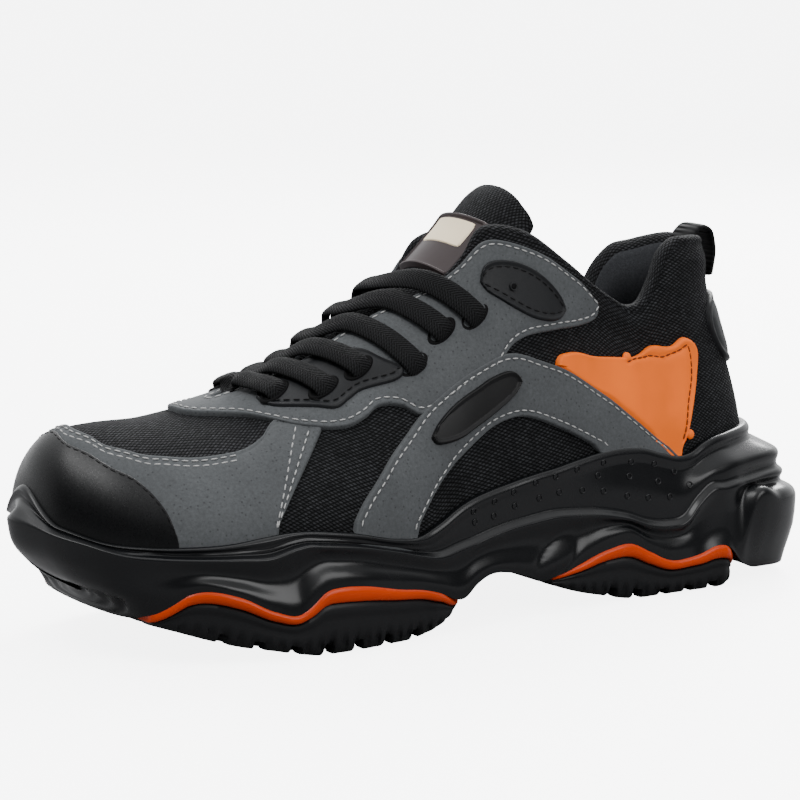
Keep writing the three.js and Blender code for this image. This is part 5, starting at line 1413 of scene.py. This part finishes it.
def woven(colour, light, pitch, strand, slant, depth):
    def lay(b, face):
        k = use(b, BRAID, Cord=b.uv(), Pitch=pitch, Strand=strand, Slant=slant)
        raised = b.spread(k["Height"], 0.1, 0.95)
        fibre = b.spread(b.noise(b.place(), 2500.0, 2, 0.7), 0.3, 0.7, 0.6, 1.0)
        # painted shade in the grooves between the strands, a third of the cord's colour; the raised strands
        # take the lighter colour as painted highlight
        shade_between = tuple(0.35 * c for c in colour)
        b.feed(face.inputs["Base Color"], b.blend(b.math("MULTIPLY", raised, fibre), shade_between, light))
        bump(b, face, k["Height"], 0.8, depth)
    return lay


def plush_lay(b, face):
    n = b.noise(b.place(), 1500.0, 3, 0.7)
    k = use(b, KNIT, Cloth=b.uv(), Row=0.7, Stitch=0.7, Turn=0.0)
    tinted(b, face, (0.05, 0.052, 0.057), b.spread(n, 0.2, 0.8, 0.6, 1.4))
    height = b.math("ADD", b.math("MULTIPLY", n, 0.4), b.math("MULTIPLY", k["Height"], 0.5))
    bump(b, face, height, 0.5, 0.12)


def thread_lay(colour):
    def lay(b, face):
        n = b.noise(b.place(), 2200.0, 2, 0.6)
        tinted(b, face, colour, b.spread(n, 0.3, 0.7, 0.75, 1.15))
        bump(b, face, n, 0.4, 0.08)
    return lay


knit = knit_finish("coarse_knit", (0.004, 0.0041, 0.0045), (0.055, 0.057, 0.062), 1.15, 1.6, 0.55, 0.4)
plush = finish("plush_lining", plush_lay, Roughness=0.95, Specular_IOR_Level=0.12)
lining_cloth = finish("insole_cloth", plush_lay, Roughness=0.9, Specular_IOR_Level=0.12)
suede = finish("brushed_suede", suede_lay,
               Roughness=0.9, Sheen_Weight=0.08, Sheen_Roughness=0.4, Specular_IOR_Level=0.2)
cap_black = finish("satin_cap_leather", smooth_leather((0.0022, 0.0024, 0.0028), 1500.0, 0.035, 0.26, 0.36),
                   Specular_IOR_Level=0.25)
patch_black = finish("matt_patch_leather",
                     smooth_leather((0.0085, 0.0092, 0.0105), 1700.0, 0.03, 0.42, 0.55),
                     Specular_IOR_Level=0.22)
pad_black = finish("moulded_pad", rubber((0.002, 0.002, 0.0023), 0.4, 0.5, 900.0, 0.02),
                   Specular_IOR_Level=0.22)
orange = finish("orange_moulded", smooth_leather((1.0, 0.175, 0.012), 1200.0, 0.03, 0.45, 0.6),
                Specular_IOR_Level=0.12)
label_rubber = finish("label_rubber", rubber((0.03, 0.0195, 0.02), 0.45, 0.6, 1200.0, 0.02),
                      Specular_IOR_Level=0.25)
cream = finish("cream_plate", rubber((1.0, 0.84, 0.58), 0.5, 0.62, 1200.0, 0.015))
moulded = finish("satin_midsole", rubber((0.004, 0.0044, 0.0052), 0.2, 0.3, 900.0, 0.01),
                 Specular_IOR_Level=0.32)
tread_rubber = finish("tread_rubber", rubber((0.0085, 0.0088, 0.0098), 0.38, 0.52, 800.0, 0.03),
                      Specular_IOR_Level=0.22)
inlay_gloss = finish("inlay_gloss", rubber((0.55, 0.042, 0.001), 0.22, 0.32, 500.0, 0.01),
                     Specular_IOR_Level=0.2)
lace = finish("braided_lace", woven((0.006, 0.0061, 0.0064), (0.017, 0.0175, 0.0185), 1.15, 1.05, 0.9, 0.3),
              Roughness=0.78, Specular_IOR_Level=0.12)
webbing = finish("ribbed_webbing",
                 woven((0.005, 0.005, 0.0053), (0.014, 0.0142, 0.015), 1.9, 40.0, 0.0, 0.4),
                 Roughness=0.7, Specular_IOR_Level=0.15)
pale_thread = finish("pale_thread", thread_lay((0.42, 0.42, 0.415)),
                     Roughness=0.7, Specular_IOR_Level=0.2)
brown_thread = finish("brown_thread", thread_lay((0.14, 0.03, 0.008)),
                      Roughness=0.7, Specular_IOR_Level=0.2)
dark_thread = finish("dark_thread", thread_lay((0.003, 0.003, 0.0033)),
                     Roughness=0.6, Specular_IOR_Level=0.2)
# near-black for the lace slots and the eyelet holes: painted shade for the holes' dark insides, and the
# slots' rims
slot_black_and_shade = finish("slot_black_and_shade", rubber((0.002, 0.002, 0.0022), 0.6, 0.75), Specular_IOR_Level=0.1)


# Making the shoe
EYELET = (0.387, 0.724)  # its place on the ankle patch


def eyelets():
    """One punched hole with a pressed ring on each ankle patch; the hole is a flattened near-black bead,
    painted shade.
    """
    for side, word in ((1, "outer"), (-1, "inner")):
        at = EYELET[0] if side > 0 else 2 - EYELET[0]
        n = panel_normal(at, EYELET[1])
        spot = on_panel(at, EYELET[1], SUEDE + PATCH + 0.55)
        axes = [level_axes(n)]
        ring = set_many(f"eyelet_ring_{word}", ring_form(1.25, 0.32, 20, 8), [spot], axes)
        dress(ring, "smooth_black", patch_black)
        # painted shade: a near-black bead stands for the hole's dark inside
        hole = set_many(f"eyelet_hole_shade_{word}", bead_form(16, 6, (1.1, 1.1, 0.3)), [spot], axes)
        dress(hole, "smooth_black", slot_black_and_shade)


def overlays():
    cap = Pattern(mirrored(TOE_CAP))
    dress(cut_panel("toe_cap_cover", cap, CAP, seam=NO_SEAM, corner=0, ends=(False, False), soft=1.0,
                    puff=0.0),
          "smooth_black", cap_black, "toe_cap")
    guard = Pattern(mirrored(MUDGUARD[::-1]))
    dress(cut_panel("mudguard_suede", guard, SUEDE, corner=1.0), "suede", suede, "mudguard")
    stays = [Pattern(EYESTAY, side) for side in (1, -1)]
    halves = [cut_panel("eyestay_half", stay, SUEDE + 0.55, corner=4.0, ends=(True, False))
              for stay in stays]
    dress(join("eyestay_suede", *halves), "suede", suede, "eyestay")
    pale = [*[seam_line(guard, 1, off, SUEDE + 0.1, 0.13, 0.87) for off in (2.1, 4.4)],
            *[seam_line(guard, end, off, SUEDE + 0.1, 0, 0.93)
              for end in ("first", "last") for off in (2.1, 4.4)],
            *[seam_line(stay, edge, 2.1, SUEDE + 0.6) for stay in stays for edge in (0, 1)]]
    dark, sunk = [seam_line(cap, 1, 1.7, CAP + 0.02)], []
    for side, word in ((1, "lateral"), (-1, "medial")):
        band = Pattern(SIDE_BAND, side)
        dress(cut_panel(f"side_band_suede_{word}", band, BAND + 0.1, corner=0, ends=(False, False)),
              "suede", suede, f"side_band_{word}")
        pale += [seam_line(band, 0, 2.1, BAND + 0.15), seam_line(band, 1, 2.1, BAND + 0.15)]
        pad = Pattern(BAND_PAD, side)
        dress(cut_panel(f"band_pad_moulded_{word}", pad, 1.6, low=-0.5, base=BAND, soft=0.9,
                        seam=NO_SEAM, puff=-0.45, corner=5.2,
                        relief=lambda s, u, d, p: -0.75 * ramp(d, 1.3, 1.8)),
              "smooth_black", pad_black, f"band_pad_{word}")
        heel = Pattern(HEEL_PANEL, side)
        channel = line_on_panel(HEEL_CHANNEL, side, PANEL - 0.35)

        def heel_relief(s, u, d, p):
            under_band = -1.3 * (1 - ramp(d, 2.6, 4.4)) * (u < 0.5)
            groove = channel[0] - channel[1] * (PANEL - 0.35)
            return under_band - 0.6 * bell(distance_to(p, groove), 0, 0.75)

        dress(cut_panel(f"heel_panel_moulded_{word}", heel, PANEL, corner=3, soft=1.1, seam=NO_SEAM,
                        puff=0.0, relief=heel_relief),
              "heel_panel", orange, f"heel_panel_{word}")
        sunk.append(channel)
        spots, axes = [], []
        for a, w in HEEL_NUBS:
            at = a if side > 0 else 2 - a
            spots.append(on_panel(at, w, PANEL * 0.5))
            axes.append(level_axes(panel_normal(at, w)))
        dress(set_many(f"heel_panel_nubs_{word}", NUB, spots, axes), "heel_panel", orange)
        patch = Pattern(EYESTAY_PATCH, side)
        dress(cut_panel(f"lace_patch_{word}", patch, PATCH + 0.3, low=-0.5, base=SUEDE + 0.4,
                        corner=4, soft=0.9, seam=2.9, relief=lambda s, u, d, p: -0.35 * ramp(d, 1.3, 2.0)),
              "smooth_black", patch_black, f"eyestay_patch_{word}")
        dark.append(seam_line(patch, 0, 3.0, SUEDE + PATCH + 0.45))
        ankle = Pattern(ANKLE_PATCH, side)
        dress(cut_panel(f"ankle_patch_{word}_cover", ankle, PATCH + 0.25, low=-0.5, base=SUEDE + 0.4,
                        corner=5, soft=0.8, seam=NO_SEAM, puff=0.0,
                        relief=lambda s, u, d, p: -0.5 * ramp(d, 1.2, 1.8)),
              "smooth_black", patch_black, f"ankle_patch_{word}")
        dark += [seam_line(ankle, edge, 2.8, SUEDE + PATCH + 0.3, 0.06, 0.94) for edge in (0, 1)]
    tab = Pattern(mirrored(HEEL_TAB))
    dress(cut_panel("heel_tab_cover", tab, SUEDE + 0.4, corner=6, soft=1.2, seam=3, puff=0.3),
          "smooth_black", patch_black, "heel_tab")
    sew("pale_seams", pale, pale_thread, "suede")
    sew("dark_seams", dark, dark_thread, "smooth_black")
    sew("heel_panel_seams", sunk, brown_thread, "heel_panel", 2.6)
    eyelets()


def floor_lay(b, face):
    """Pale paper, lit from below towards the camera, as on a light table."""
    seen = b.put("ShaderNodeLightPath").outputs["Is Camera Ray"]
    paper = b.blend(seen, (0.22, 0.22, 0.225), (0.93, 0.93, 0.925))
    tinted(b, face, paper, use(b, DRIFT, Place=b.place(), Scale=3.0, Amount=0.01)["Tone"])
    b.feed(face.inputs["Emission Strength"], b.math("MULTIPLY", seen, 5.4))


LAMPS = (  # place and size in metres, and watts
    ("key", (-0.75, -0.05, 1.3), (0.9, 0.5), 11),
    ("front", (0.45, -1.6, 1.05), (1.5, 0.8), 20),
    ("rear", (0.9, 0.8, 0.9), (0.5, 0.8), 26),
)


def set_scene():
    bpy.ops.object.select_all(action="DESELECT")
    bpy.ops.mesh.primitive_plane_add(size=12, location=(0, 0, 0))
    floor = bpy.context.object
    floor.name = "pale_floor"
    paper = finish("pale_floor", floor_lay, Roughness=0.6, Emission_Color=(0.99, 0.995, 1.0, 1))
    floor.data.materials.append(paper)
    world = bpy.data.worlds.new("studio")
    bpy.context.scene.world = world
    world.use_nodes = True
    b = Bench(world.node_tree)
    b.nodes.clear()
    direction = b.put("ShaderNodeTexCoord").outputs["Generated"]
    x, y, z = b.put("ShaderNodeSeparateXYZ", {"Vector": direction}).outputs
    behind = b.math("ADD", b.math("MULTIPLY", x, 0.3), b.math("MULTIPLY", y, 0.95))
    soft_box = b.math("ADD", b.spread(z, 0.45, 1.0, 0.0, 1.5), b.spread(behind, -0.1, 0.9, 0.14, 2.0))
    seen = b.put("ShaderNodeLightPath").outputs["Is Camera Ray"]
    unseen = b.math("MULTIPLY", soft_box, b.math("SUBTRACT", 1.0, seen))
    power = b.math("ADD", unseen, b.math("MULTIPLY", seen, 7.0))
    sky = b.put("ShaderNodeBackground", {"Color": (0.98, 0.99, 1.0, 1), "Strength": power})
    b.put("ShaderNodeOutputWorld", {"Surface": sky.outputs[0]})
    for name, place, size, power in LAMPS:
        data = bpy.data.lights.new(name, "AREA")
        data.shape, data.size, data.size_y, data.energy = "RECTANGLE", size[0], size[1], power
        lamp = bpy.data.objects.new(name, data)
        lamp.location = place
        lamp.rotation_euler = (Vector((0, 0, 0.06)) - Vector(place)).to_track_quat("-Z", "Y").to_euler()
        bpy.context.scene.collection.objects.link(lamp)


def set_camera():
    az, el, roll, distance = math.radians(-31), math.radians(9), math.radians(-0.7), 1.3
    target = Vector((-2.887, 2.478, 73)) * MM
    back = Vector((math.sin(az) * math.cos(el), -math.cos(az) * math.cos(el), math.sin(el)))
    level_right = Vector((math.cos(az), math.sin(az), 0))
    level_up = back.cross(level_right)
    right = level_right * math.cos(roll) + level_up * math.sin(roll)
    up = level_up * math.cos(roll) - level_right * math.sin(roll)
    data = bpy.data.cameras.new("camera")
    data.sensor_width, data.lens, data.clip_start = 36, 166.05, 0.01
    camera = bpy.data.objects.new("camera", data)
    place = target + back * distance
    camera.matrix_world = Matrix(((right.x, up.x, back.x, place.x), (right.y, up.y, back.y, place.y),
                                  (right.z, up.z, back.z, place.z), (0, 0, 0, 1)))
    bpy.context.scene.collection.objects.link(camera)
    bpy.context.scene.camera = camera


set_camera()
moulded_midsole()
inlay_piece("inlay_front", FOREFOOT_TREAD, "inlay_forefoot", 90.6)
inlay_piece("inlay_rear", HEEL_TREAD, "inlay_heel")
tread_piece("tread_front", FOREFOOT_TREAD, 59.5, 83, "outsole_forefoot", 90.2)
tread_piece("tread_rear", HEEL_TREAD, 16.8, 31, "outsole_heel")
knit_upper()
padded_tongue()
tongue_label()
footbed()
overlays()
pull_loop()
slot_rims()
lace_up()
set_scene()
